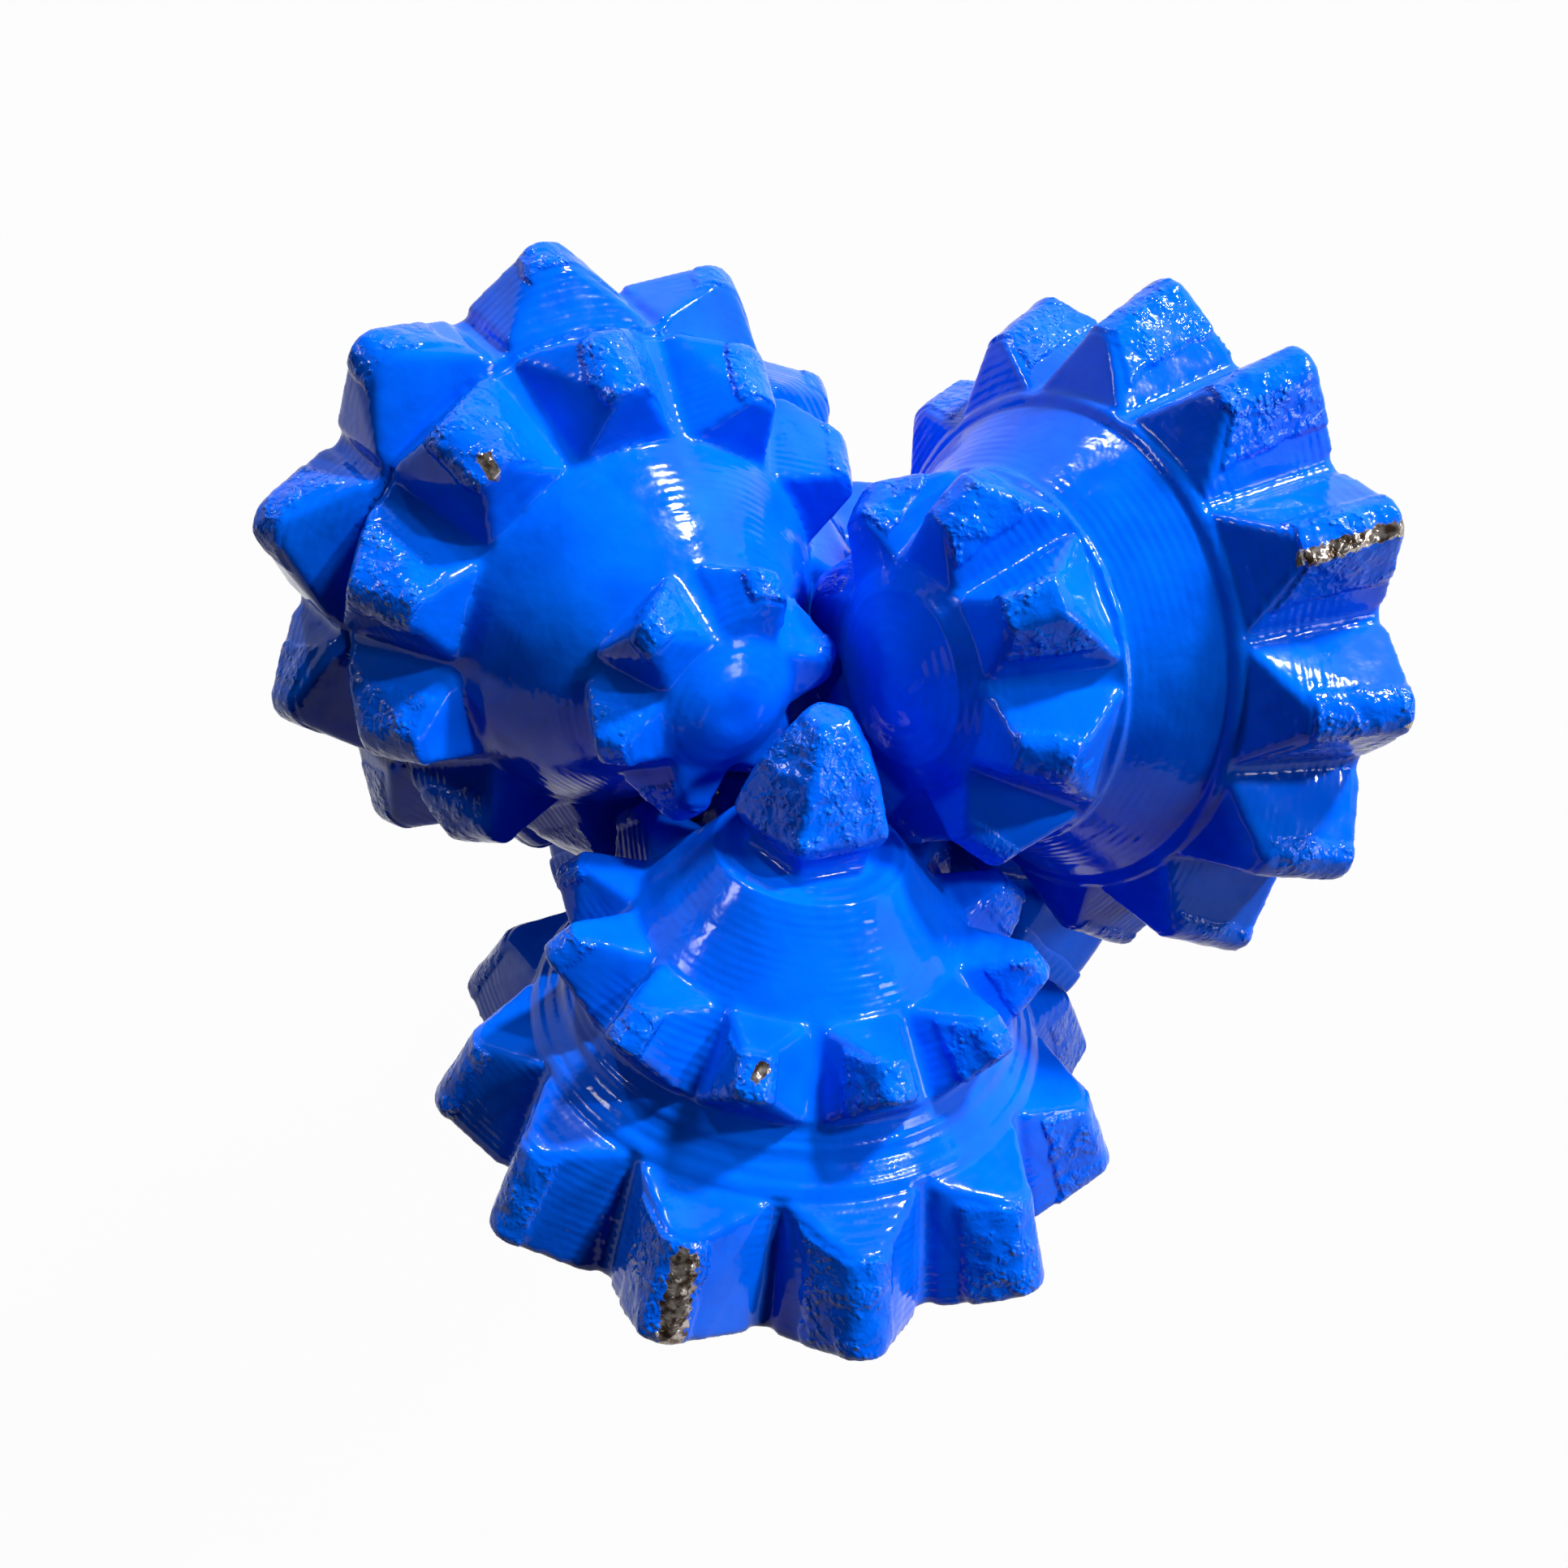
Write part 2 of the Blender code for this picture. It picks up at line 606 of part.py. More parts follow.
def full_complement(name, count, section, frame, finish):
    """A ring of rolling pieces with this (radius, height) section. Their meridians meet at the contacts."""
    pitch = contact_pitch(2 * max(radius for radius, _ in section), count)
    contact = math.pi / 2 + math.pi / count
    meridians = (0, contact / 2, contact, math.pi, -contact, -contact / 2)
    paired = count - count % 2
    groups = [range(0, paired, 2), range(1, paired, 2), range(paired, count)]
    pieces = []
    for group in filter(len, groups):
        work = bmesh.new()
        for index in group:
            turn = Matrix.Rotation(2 * math.pi * index / count, 4, "Z")
            corners = [turn @ Vector((pitch + radius * math.cos(angle), radius * math.sin(angle), height))
                       for radius, height in section for angle in meridians]
            add_hull(work, corners)
        bmesh.ops.remove_doubles(work, verts=work.verts, dist=MERGE_DISTANCE)
        mesh = bpy.data.meshes.new(name)
        work.to_mesh(mesh)
        work.free()
        pieces.append(add(name, mesh, frame, None if pieces else finish))
    for other in pieces[1:]:
        combine(pieces[0], other, "UNION", "MANIFOLD")
    return pieces[0]


def build_rollers(number, frame):
    """The full complement of main bearing rollers."""
    radius = ROLLER_DIAMETER / 2
    section = ((radius, ROLLER_CENTRE - ROLLER_LENGTH / 2), (radius, ROLLER_CENTRE + ROLLER_LENGTH / 2))
    return full_complement(f"main_rollers_{number}", ROLLER_COUNT, section, frame, STEEL)


def build_balls(number, frame):
    """The full complement of retaining balls."""
    section = []
    for index in range(BALL_RINGS + 1):
        latitude = math.pi * (index / BALL_RINGS - 0.5)
        rise = BALL_DIAMETER / 2 * math.sin(latitude)
        section.append((BALL_DIAMETER / 2 * math.cos(latitude), BALL_CENTRE + rise))
    return full_complement(f"retaining_balls_{number}", BALL_COUNT, section, frame, STEEL)


def build_bearing(number, frame):
    """Everything between a journal and its cone."""
    build_rollers(number, frame)
    build_balls(number, frame)
    ring(f"nose_bushing_{number}", BUSHING_INNER, BUSHING_OUTER, CONE_BORE_END + FIT_GAP,
         CONE_THRUST_FACE - FIT_GAP, frame, BRONZE, SMALL_SEGMENTS)
    ring(f"thrust_washer_{number}", BUSHING_INNER, THRUST_WASHER_DIAMETER / 2, CONE_THRUST_FACE + FIT_GAP,
         THRUST_FACE - FIT_GAP, frame, BRONZE, SMALL_SEGMENTS)
    disc(f"thrust_button_{number}", THRUST_BUTTON_DIAMETER / 2, CONE_BORE_END + FIT_GAP,
         NOSE_PIN_END - FIT_GAP, frame, STEEL, SMALL_SEGMENTS)
    seal_middle = (SEAL_JOURNAL_DIAMETER / 2 + CONE_BORE_RADIUS) / 2
    round_ring(f"cone_seal_{number}", SEAL_SECTION / 2, seal_middle, SEAL_CENTRE,
               SEAL_SECTION_SEGMENTS, frame, RUBBER)


def body_outline():
    """The section of the three welded forgings about the bit's axis, without the arms."""
    shank_radius = SHANK_DIAMETER / 2
    shoulder_radius = SHOULDER_DIAMETER / 2
    shank_top = PIN_LENGTH + SHANK_LENGTH
    end_radius = PIN_END_DIAMETER / 2
    return (
        (0, DOME_HEIGHT),
        (DOME_DIAMETER / 2, DOME_HEIGHT),
        (BODY_DIAMETER / 2, BODY_SHOULDER_HEIGHT),
        (BODY_DIAMETER / 2, shank_top + BODY_FLARE),
        (shank_radius, shank_top),
        (shank_radius, PIN_LENGTH + shank_radius - shoulder_radius),
        (shoulder_radius, PIN_LENGTH),
        (PIN_BASE_DIAMETER / 2, PIN_LENGTH),
        (PIN_BASE_DIAMETER / 2, PIN_LENGTH - PIN_BASE_LENGTH),
        (end_radius, PIN_END_CHAMFER),
        (end_radius - PIN_END_CHAMFER, 0),
        (PIN_BORE / 2, 0),
        (PIN_BORE / 2, PLENUM_HEIGHT),
        (0, PLENUM_HEIGHT + PLENUM_PEAK),
    )


def arm_outline():
    """The turned outer form that limits the arm of a leg."""
    return (
        (0, ARM_BLANK_TOP),
        (ARM_DIAMETER / 2, ARM_BLANK_TOP),
        (ARM_DIAMETER / 2, ARM_WAIST_TOP),
        (ARM_WAIST_RADIUS, ARM_WAIST_TOP),
        (ARM_WAIST_RADIUS, ARM_WAIST_BOTTOM),
        (ARM_ROOT_DIAMETER / 2, ARM_ROOT_HEIGHT),
        (0, ARM_ROOT_HEIGHT),
    )


def shirttail_outline():
    """The arm seen from outside the bit, as (sideways, height): a round shirttail on spreading sides."""
    middle = APEX_HEIGHT - (BACK_FACE + BACK_FACE_GAP) * math.sin(JOURNAL_ANGLE)
    points = []
    for index in range(SHIRTTAIL_STEPS + 1):
        angle = math.pi * index / SHIRTTAIL_STEPS
        points.append((
            JOURNAL_OFFSET + SHIRTTAIL_RADIUS * math.cos(angle),
            middle + SHIRTTAIL_RADIUS * math.cos(JOURNAL_ANGLE) * math.sin(angle),
        ))
    bottom = ARM_ROOT_HEIGHT - OVERRUN
    points += [
        (-ARM_HALF_WIDTH + JOURNAL_OFFSET, ARM_SPREAD_HEIGHT),
        (-ARM_FOOT_HALF_WIDTH, ARM_ROOT_HEIGHT),
        (-ARM_FOOT_HALF_WIDTH, bottom),
        (ARM_FOOT_HALF_WIDTH, bottom),
        (ARM_FOOT_HALF_WIDTH, ARM_ROOT_HEIGHT),
        (ARM_HALF_WIDTH + JOURNAL_OFFSET, ARM_SPREAD_HEIGHT),
    ]
    return points


def build_leg(number, leg_frame, journal_frame, all_journal_frames):
    """One forging: a third of the pin and body, an arm with its shirttail, and the journal."""
    name = f"leg_{number}"
    leg = turned(name, body_outline(), BODY_SEGMENTS, leg_frame, PAINT)
    third = math.pi / 3
    reach = GAGE_RADIUS + OVERRUN
    corner = (0, 0), (reach, -reach * math.tan(third)), (reach, reach * math.tan(third))
    shift = Matrix.Translation((FIT_GAP / 2 / math.sin(third), 0, 0))
    sector = prism(f"{name}_sector", corner, -OVERRUN, APEX_HEIGHT, shift, leg_frame)
    forge(leg, sector, "INTERSECT")

    arm = turned(f"{name}_arm", arm_outline(), BODY_SEGMENTS, leg_frame)
    upright = Matrix(((0, 0, 1, 0), (1, 0, 0, 0), (0, 1, 0, 0), (0, 0, 0, 1)))
    tongue = prism(f"{name}_tongue", shirttail_outline(), ARM_INNER_REACH, reach, upright, leg_frame)
    combine(arm, tongue, "INTERSECT")
    forge(leg, arm, "UNION")

    foot = NOZZLE_CIRCLE_RADIUS * math.cos(NOZZLE_AZIMUTH), NOZZLE_CIRCLE_RADIUS * math.sin(NOZZLE_AZIMUTH)
    boss = rod(f"{name}_nozzle_boss", (*foot, NOZZLE_POCKET_FLOOR), (*foot, NOZZLE_BOSS_HEIGHT),
               NOZZLE_BOSS_DIAMETER / 2, leg_frame, segments=RING_SEGMENTS)
    forge(leg, boss, "UNION")

    blank = disc(f"{name}_journal_blank", SEAL_JOURNAL_DIAMETER / 2 + OVERRUN, NOSE_PIN_END - OVERRUN,
                 BACK_FACE + BACK_FACE_GAP + OVERRUN, journal_frame, segments=JOURNAL_SEGMENTS)
    forge(leg, blank, "UNION")
    for index, frame in enumerate(all_journal_frames, start=1):
        wall = [(CLEARANCE_RADIUS, BACK_FACE + BACK_FACE_GAP), (CLEARANCE_RADIUS, -CLEARANCE_RADIUS),
                (0, -CLEARANCE_RADIUS)]
        kept = journal_outline() if index == number else [(0, BACK_FACE + BACK_FACE_GAP)]
        room = turned(f"{name}_room_for_cone_{index}", kept + wall, JOURNAL_SEGMENTS, frame)
        forge(leg, room, "DIFFERENCE")

    build_ball_hole(number, leg, leg_frame, bpy.data.objects[f"{name}_room_for_cone_{number}"])
    build_reservoir(number, leg, leg_frame)
    build_nozzle(number, leg, leg_frame, foot)

    flat = BREAKER_FLAT_WIDTH / 2
    flat_reach = math.sqrt((SHANK_DIAMETER / 2) ** 2 - flat ** 2)
    low = PIN_LENGTH + (SHANK_LENGTH - BREAKER_FLAT_LENGTH) / 2
    outline = ((flat_reach, -flat - OVERRUN), (SHANK_DIAMETER / 2 + OVERRUN, -flat - OVERRUN),
               (SHANK_DIAMETER / 2 + OVERRUN, flat + OVERRUN), (flat_reach, flat + OVERRUN))
    cut = prism(f"{name}_breaker_flat", outline, low, low + BREAKER_FLAT_LENGTH, Matrix(), leg_frame)
    forge(leg, cut, "DIFFERENCE")
    return leg


def ball_hole_points():
    """The start of the ball hole in the race and its end outside the leg, in the leg's frame."""
    slope = math.tan(BALL_HOLE_ANGLE)
    rise = math.cos(JOURNAL_ANGLE) + slope * math.sin(JOURNAL_ANGLE)
    base = (BALL_PITCH + BALL_CENTRE * slope) * math.sin(JOURNAL_ANGLE)
    exit_reach = (ARM_DIAMETER / 2 + base) / rise
    exit_radius = -BALL_PITCH + (exit_reach - BALL_CENTRE) * slope
    return in_leg_frame(BALL_CENTRE, -BALL_PITCH), in_leg_frame(exit_reach, exit_radius)


def build_ball_hole(number, leg, frame, journal_room):
    """The hole that the balls go in through, and the plug that keeps them in, whose end follows the race."""
    race, outside = (Vector(point) for point in ball_hole_points())
    along = (outside - race).normalized()
    hole = rod(f"leg_{number}_ball_hole", race, outside + along * 2 * OVERRUN, BALL_HOLE_RADIUS, frame)
    forge(leg, hole, "DIFFERENCE")
    plug_end = outside - along * BALL_HOLE_RADIUS
    plug = rod(f"ball_plug_{number}", race, plug_end, BALL_HOLE_RADIUS - FIT_GAP, frame, STEEL)
    combine(plug, journal_room, "DIFFERENCE")


def build_reservoir(number, leg, frame):
    """The grease reservoir's pocket and passage, with its diaphragm, cap and snap ring."""
    radius = RESERVOIR_DIAMETER / 2
    floor = (RESERVOIR_FLOOR, JOURNAL_OFFSET, RESERVOIR_HEIGHT)
    mouth = (GAGE_RADIUS + OVERRUN, JOURNAL_OFFSET, RESERVOIR_HEIGHT)
    pocket = rod(f"leg_{number}_reservoir_pocket", floor, mouth, radius, frame, segments=RING_SEGMENTS)
    forge(leg, pocket, "DIFFERENCE")
    place = rod_matrix(floor, mouth)
    cap_low = 2 * FIT_GAP + DIAPHRAGM_LENGTH
    ring_low = cap_low + CAP_THICKNESS + FIT_GAP
    groove = disc(f"leg_{number}_reservoir_groove", radius + SNAP_RING_BITE, ring_low - FIT_GAP,
                  ring_low + SNAP_RING_THICKNESS + FIT_GAP, frame)
    groove.matrix_local = place
    forge(leg, groove, "DIFFERENCE")

    race, outside = (Vector(point) for point in ball_hole_points())
    meeting = race.lerp(outside, GREASE_PASSAGE_END_SHARE)
    start = Vector((RESERVOIR_FLOOR + GREASE_PASSAGE_DIAMETER, JOURNAL_OFFSET, RESERVOIR_HEIGHT))
    passage = rod(f"leg_{number}_grease_passage", start, meeting, GREASE_PASSAGE_DIAMETER / 2, frame)
    forge(leg, passage, "DIFFERENCE")

    outer = radius - FIT_GAP
    cup = (
        (0, FIT_GAP + DIAPHRAGM_WALL),
        (outer - DIAPHRAGM_WALL, FIT_GAP + DIAPHRAGM_WALL),
        (outer - DIAPHRAGM_WALL, FIT_GAP + DIAPHRAGM_LENGTH),
        (outer, FIT_GAP + DIAPHRAGM_LENGTH),
        (outer, FIT_GAP),
        (0, FIT_GAP),
    )
    pieces = (
        turned(f"reservoir_diaphragm_{number}", cup, RING_SEGMENTS, frame, RUBBER),
        ring(f"reservoir_cap_{number}", CAP_HOLE_DIAMETER / 2, outer, cap_low, cap_low + CAP_THICKNESS,
             frame, STEEL),
        ring(f"reservoir_snap_ring_{number}", radius + SNAP_RING_BITE - FIT_GAP - SNAP_RING_WIDTH,
             radius + SNAP_RING_BITE - FIT_GAP, ring_low, ring_low + SNAP_RING_THICKNESS, frame, STEEL),
    )
    for piece in pieces:
        piece.matrix_local = place


def build_nozzle(number, leg, frame, foot):
    """The nozzle pocket and the passage that feeds it, with the nozzle, its seal and its retaining ring."""
    place = Matrix.Translation((*foot, 0))
    radius = NOZZLE_POCKET_DIAMETER / 2
    seal_half = NOZZLE_SEAL_SECTION / 2
    ring_low = NOZZLE_TOP + FIT_GAP
    throat_low = NOZZLE_POCKET_FLOOR - NOZZLE_THROAT_LENGTH
    cutters = (
        disc(f"leg_{number}_nozzle_throat", NOZZLE_PASSAGE_DIAMETER / 2, throat_low,
             NOZZLE_POCKET_FLOOR + OVERRUN, frame),
        disc(f"leg_{number}_nozzle_pocket", radius, NOZZLE_POCKET_FLOOR, DOME_HEIGHT + OVERRUN, frame),
        disc(f"leg_{number}_nozzle_seal_groove", NOZZLE_GROOVE_RADIUS,
             NOZZLE_SEAL_HEIGHT - seal_half - FIT_GAP, NOZZLE_SEAL_HEIGHT + seal_half + FIT_GAP, frame),
        disc(f"leg_{number}_nozzle_ring_groove", radius + SNAP_RING_BITE, ring_low - FIT_GAP,
             ring_low + NOZZLE_RING_THICKNESS + FIT_GAP, frame),
    )
    for cutter in cutters:
        cutter.matrix_local = place
        forge(leg, cutter, "DIFFERENCE")
    share = NOZZLE_PASSAGE_START / NOZZLE_CIRCLE_RADIUS
    start = (foot[0] * share, foot[1] * share, NOZZLE_PASSAGE_HEIGHT)
    passage = rod(f"leg_{number}_nozzle_passage", start, (*foot, throat_low + OVERRUN),
                  NOZZLE_PASSAGE_DIAMETER / 2, frame)
    forge(leg, passage, "DIFFERENCE")

    low = NOZZLE_POCKET_FLOOR + FIT_GAP
    outline = (
        (NOZZLE_OUTER_RADIUS, NOZZLE_TOP),
        (NOZZLE_OUTER_RADIUS, low),
        (NOZZLE_INLET_DIAMETER / 2, low),
        (NOZZLE_ORIFICE_DIAMETER / 2, (low + NOZZLE_TOP) / 2),
        (NOZZLE_ORIFICE_DIAMETER / 2, NOZZLE_TOP),
    )
    pieces = (
        turned(f"jet_nozzle_{number}", outline, RING_SEGMENTS, frame, CARBIDE),
        ring(f"nozzle_retaining_ring_{number}", radius + SNAP_RING_BITE - FIT_GAP - SNAP_RING_WIDTH,
             radius + SNAP_RING_BITE - FIT_GAP, ring_low, ring_low + NOZZLE_RING_THICKNESS, frame, STEEL),
        ring(f"nozzle_seal_{number}", NOZZLE_OUTER_RADIUS + FIT_GAP,
             NOZZLE_OUTER_RADIUS + NOZZLE_SEAL_SECTION, NOZZLE_SEAL_HEIGHT - seal_half,
             NOZZLE_SEAL_HEIGHT + seal_half, frame, RUBBER),
    )
    for piece in pieces:
        piece.matrix_local = place


def build_bit():
    """The whole bit: three legs, and on each of them a cone with its bearing."""
    leg_frames = [frame_at(f"leg_axis_{number}", Matrix.Rotation(azimuth, 4, "Z"))
                  for number, azimuth in enumerate(LEG_AZIMUTHS, start=1)]
    journal_frames = [frame_at(f"journal_axis_{number}", journal_matrix(azimuth))
                      for number, azimuth in enumerate(LEG_AZIMUTHS, start=1)]
    for number, cone in enumerate(CONES, start=1):
        journal_frame = journal_frames[number - 1]
        build_leg(number, leg_frames[number - 1], journal_frame, journal_frames)
        build_cone(number, cone, journal_frame)
        build_bearing(number, journal_frame)
    shade_pieces()


build_bit()
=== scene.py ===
"""Dressed model of a milled-tooth tricone drill bit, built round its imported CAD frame.

+Z runs along the bit's axis from the pin to the cones, in metres. A journal frame has its origin
beside the point where the journal axes pass the bit's axis, its +Z along the journal from the
cone's nose to its back face, and its +X towards the bottom of the hole.
"""
from __future__ import annotations

import logging
import math
from dataclasses import dataclass, field
from enum import Enum

import bmesh
import bpy
import numpy as np
from mathutils import Matrix, Vector

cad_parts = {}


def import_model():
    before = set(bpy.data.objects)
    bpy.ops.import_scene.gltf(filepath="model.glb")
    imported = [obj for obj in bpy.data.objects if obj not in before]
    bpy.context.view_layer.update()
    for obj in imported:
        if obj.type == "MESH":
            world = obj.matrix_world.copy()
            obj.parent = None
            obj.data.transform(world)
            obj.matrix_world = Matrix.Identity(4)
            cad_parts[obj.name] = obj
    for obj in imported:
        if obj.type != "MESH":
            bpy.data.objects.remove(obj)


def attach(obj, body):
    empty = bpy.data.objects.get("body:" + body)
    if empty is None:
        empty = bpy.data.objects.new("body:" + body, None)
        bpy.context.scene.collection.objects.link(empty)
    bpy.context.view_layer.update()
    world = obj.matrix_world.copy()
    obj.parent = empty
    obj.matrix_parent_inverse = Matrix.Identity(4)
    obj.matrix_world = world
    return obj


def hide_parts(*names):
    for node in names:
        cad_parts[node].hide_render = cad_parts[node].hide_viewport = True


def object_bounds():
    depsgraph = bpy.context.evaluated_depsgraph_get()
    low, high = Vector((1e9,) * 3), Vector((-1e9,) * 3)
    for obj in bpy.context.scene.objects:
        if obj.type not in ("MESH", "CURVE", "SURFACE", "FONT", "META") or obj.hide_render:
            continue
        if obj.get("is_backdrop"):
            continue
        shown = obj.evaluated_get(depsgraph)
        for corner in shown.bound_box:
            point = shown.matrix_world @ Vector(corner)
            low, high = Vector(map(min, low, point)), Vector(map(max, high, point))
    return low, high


LOG = logging.getLogger("tricone_bit")
Outline = list[tuple[float, float]]
Place = tuple[float, float, float]
Colour = tuple[float, float, float, float]
Box = list[list[float]]
Group = bpy.types.ShaderNodeTree
Socket = bpy.types.NodeSocket

MM = 0.001
LEG_AZIMUTHS = tuple(math.radians(degrees) for degrees in (255, 15, 135))
FIT_GAP = 0.3 * MM
OVERRUN = 4 * MM
SHARP_ANGLE = math.radians(40)
PIN_LENGTH = 107.95 * MM
BORE_RADIUS = 28.575 * MM
BACK_FACE = 94 * MM
BALL_CENTRE = 58 * MM
BALL_PITCH = 24.27 * MM
UP = Vector((0, 0, 1))


class Operation(Enum):
    """What one closed body does to another."""

    JOIN = "UNION"
    CUT = "DIFFERENCE"
    KEEP = "INTERSECT"


class Mask(Enum):
    """Masks and places that a mesh carries for its finish, by attribute name."""

    HARDFACING = "hardfacing"
    WEAR = "wear"
    ALONG = "along"


# Places


@dataclass(frozen=True)
class Journals:
    """Where the three journals lie.

    Attributes:
        angle: Slope of a journal's axis below the level.
        offset: Distance by which its axis passes the bit's axis.
        apex: Height of the journals' common origin.
    """

    angle: float = math.radians(35.5)
    offset: float = 5.1 * MM
    apex: float = 293 * MM

    def matrix(self, azimuth: float) -> Matrix:
        """Gives the frame of one journal.

        Args:
            azimuth: Direction of the leg that carries it.

        Returns:
            The matrix from the journal's frame to the bit's.
        """
        radial = Vector((math.cos(azimuth), math.sin(azimuth), 0))
        tangent = Vector((-math.sin(azimuth), math.cos(azimuth), 0))
        along = radial * math.cos(self.angle) - UP * math.sin(self.angle)
        towards_hole = radial * math.sin(self.angle) + UP * math.cos(self.angle)
        matrix = Matrix((towards_hole, -tangent, along)).transposed().to_4x4()
        matrix.translation = tangent * self.offset + UP * self.apex
        return matrix

    def in_leg_frame(self, reach: float, radius: float) -> Vector:
        """Places a point of the journal's middle plane in its leg's frame.

        Args:
            reach: Distance along the journal's axis.
            radius: Height off that axis.

        Returns:
            The point, with +X pointing out of the bit.
        """
        outward = reach * math.cos(self.angle) + radius * math.sin(self.angle)
        height = self.apex - reach * math.sin(self.angle) + radius * math.cos(self.angle)
        return Vector((outward, self.offset, height))


JOURNALS = Journals()


def polar(distance: float, angle: float) -> tuple[float, float]:
    """Gives the (height, radius) of a point by its distance and angle from a journal's origin."""
    return distance * math.cos(angle), distance * math.sin(angle)


# Meshes


def finished(work: bmesh.types.BMesh, name: str) -> bpy.types.Mesh:
    """Points a mesh's faces outwards, writes it to a new mesh and frees it."""
    bmesh.ops.recalc_face_normals(work, faces=work.faces)
    mesh = bpy.data.meshes.new(name)
    work.to_mesh(mesh)
    work.free()
    return mesh


def ring_at(work: bmesh.types.BMesh, radius: float | np.ndarray, height: float,
            segments: int) -> list[bmesh.types.BMVert]:
    """Adds a level ring of vertices about +Z.

    Args:
        work: The mesh under construction.
        radius: Its radius, or one radius for each vertex.
        height: Its height.
        segments: Number of vertices.

    Returns:
        The vertices in order.
    """
    turns = 2 * math.pi * np.arange(segments) / segments
    return [work.verts.new((far * math.cos(turn), far * math.sin(turn), height))
            for far, turn in zip(np.broadcast_to(radius, segments), turns)]


def strips(work: bmesh.types.BMesh, rings: list[list[bmesh.types.BMVert]]) -> None:
    """Fills the strips between neighbouring rings, of which a ring of one vertex is a tip."""
    for first, second in zip(rings, rings[1:]):
        count = max(len(first), len(second))
        for index in range(count if count > 1 else 0):
            follow = (index + 1) % count
            corners = [first[index % len(first)], second[index % len(second)],
                       second[follow % len(second)], first[follow % len(first)]]
            work.faces.new(list(dict.fromkeys(corners)))


def turned(outline: Outline, segments: int, closed: bool = True) -> bpy.types.Mesh:
    """Turns an outline about +Z.

    Args:
        outline: (radius, height) points. A closed outline that meets the axis does so at both its ends.
        segments: Number of sides.
        closed: Whether an outline that starts off the axis is joined to its start.

    Returns:
        The mesh, its faces pointing outwards.
    """
    work = bmesh.new()
    rings = [ring_at(work, radius, height, segments if radius > 0 else 1) for radius, height in outline]
    if closed and outline[0][0] > 0:
        rings.append(rings[0])
    strips(work, rings)
    return finished(work, "turned")


def prism(outline: Outline, start: float, end: float, matrix: Matrix) -> bpy.types.Mesh:
    """Pushes a flat outline along z.

    Args:
        outline: (x, y) points.
        start: Height of the first face.
        end: Height of the last face.
        matrix: Where the body goes.

    Returns:
        The closed mesh.
    """
    work = bmesh.new()
    face = work.faces.new([work.verts.new((x, y, start)) for x, y in outline])
    grown = bmesh.ops.extrude_face_region(work, geom=[face])["geom"]
    moved = [item for item in grown if isinstance(item, bmesh.types.BMVert)]
    bmesh.ops.translate(work, vec=(0, 0, end - start), verts=moved)
    bmesh.ops.transform(work, matrix=matrix, verts=work.verts)
    return finished(work, "prism")


def rod(start: Vector, end: Vector, radius: float, segments: int = 48) -> bpy.types.Mesh:
    """Makes a straight round bar between two points."""
    direction = end - start
    mesh = turned([(0, direction.length), (radius, direction.length), (radius, 0), (0, 0)], segments)
    mesh.transform(Matrix.Translation(start) @ direction.to_track_quat("Z", "Y").to_matrix().to_4x4())
    return mesh


def added(name: str, data: bpy.types.ID) -> bpy.types.Object:
    """Makes an object of this data and adds it to the scene."""
    item = bpy.data.objects.new(name, data)
    bpy.context.scene.collection.objects.link(item)
    return item


def evaluated(item: bpy.types.Object) -> bpy.types.Mesh:
    """Applies an object's modifiers and gives the resulting mesh."""
    graph = bpy.context.evaluated_depsgraph_get()
    graph.update()
    return bpy.data.meshes.new_from_object(item.evaluated_get(graph))


def carved(base: bpy.types.Mesh, steps: list[tuple[Operation, bpy.types.Mesh]]) -> bpy.types.Mesh:
    """Joins, cuts or crops a closed mesh by others, one after another.

    Args:
        base: The mesh to work on.
        steps: What to do with which closed mesh.

    Returns:
        The new closed mesh. The meshes that went in are removed.
    """
    item = added("carving", base)
    tools = []
    for operation, mesh in steps:
        tools.append(added("tool", mesh))
        step = item.modifiers.new("step", "BOOLEAN")
        step.operation = operation.value
        step.object = tools[-1]
        step.solver = "MANIFOLD"
    result = evaluated(item)
    for used in (item, *tools):
        mesh = used.data
        bpy.data.objects.remove(used)
        bpy.data.meshes.remove(mesh)
    return result


def remeshed(base: bpy.types.Mesh, voxel: float) -> bpy.types.Mesh:
    """Melts overlapping closed bodies into one even skin.

    Args:
        base: The closed bodies, in one mesh.
        voxel: Size of the new faces.

    Returns:
        The new mesh. The one that went in is removed.
    """
    item = added("melting", base)
    step = item.modifiers.new("skin", "REMESH")
    step.mode = "VOXEL"
    step.voxel_size = voxel
    result = evaluated(item)
    bpy.data.objects.remove(item)
    bpy.data.meshes.remove(base)
    return result


def points_of(mesh: bpy.types.Mesh, what: str = "co") -> np.ndarray:
    """Reads a mesh's vertex positions, or with "normal" its vertex normals."""
    flat = np.empty(len(mesh.vertices) * 3, np.float32)
    mesh.vertices.foreach_get(what, flat)
    return flat.reshape(-1, 3).astype(float)


def move_points(mesh: bpy.types.Mesh, points: np.ndarray) -> None:
    """Writes a mesh's vertex positions."""
    mesh.vertices.foreach_set("co", points.astype(np.float32).ravel())
    mesh.update()


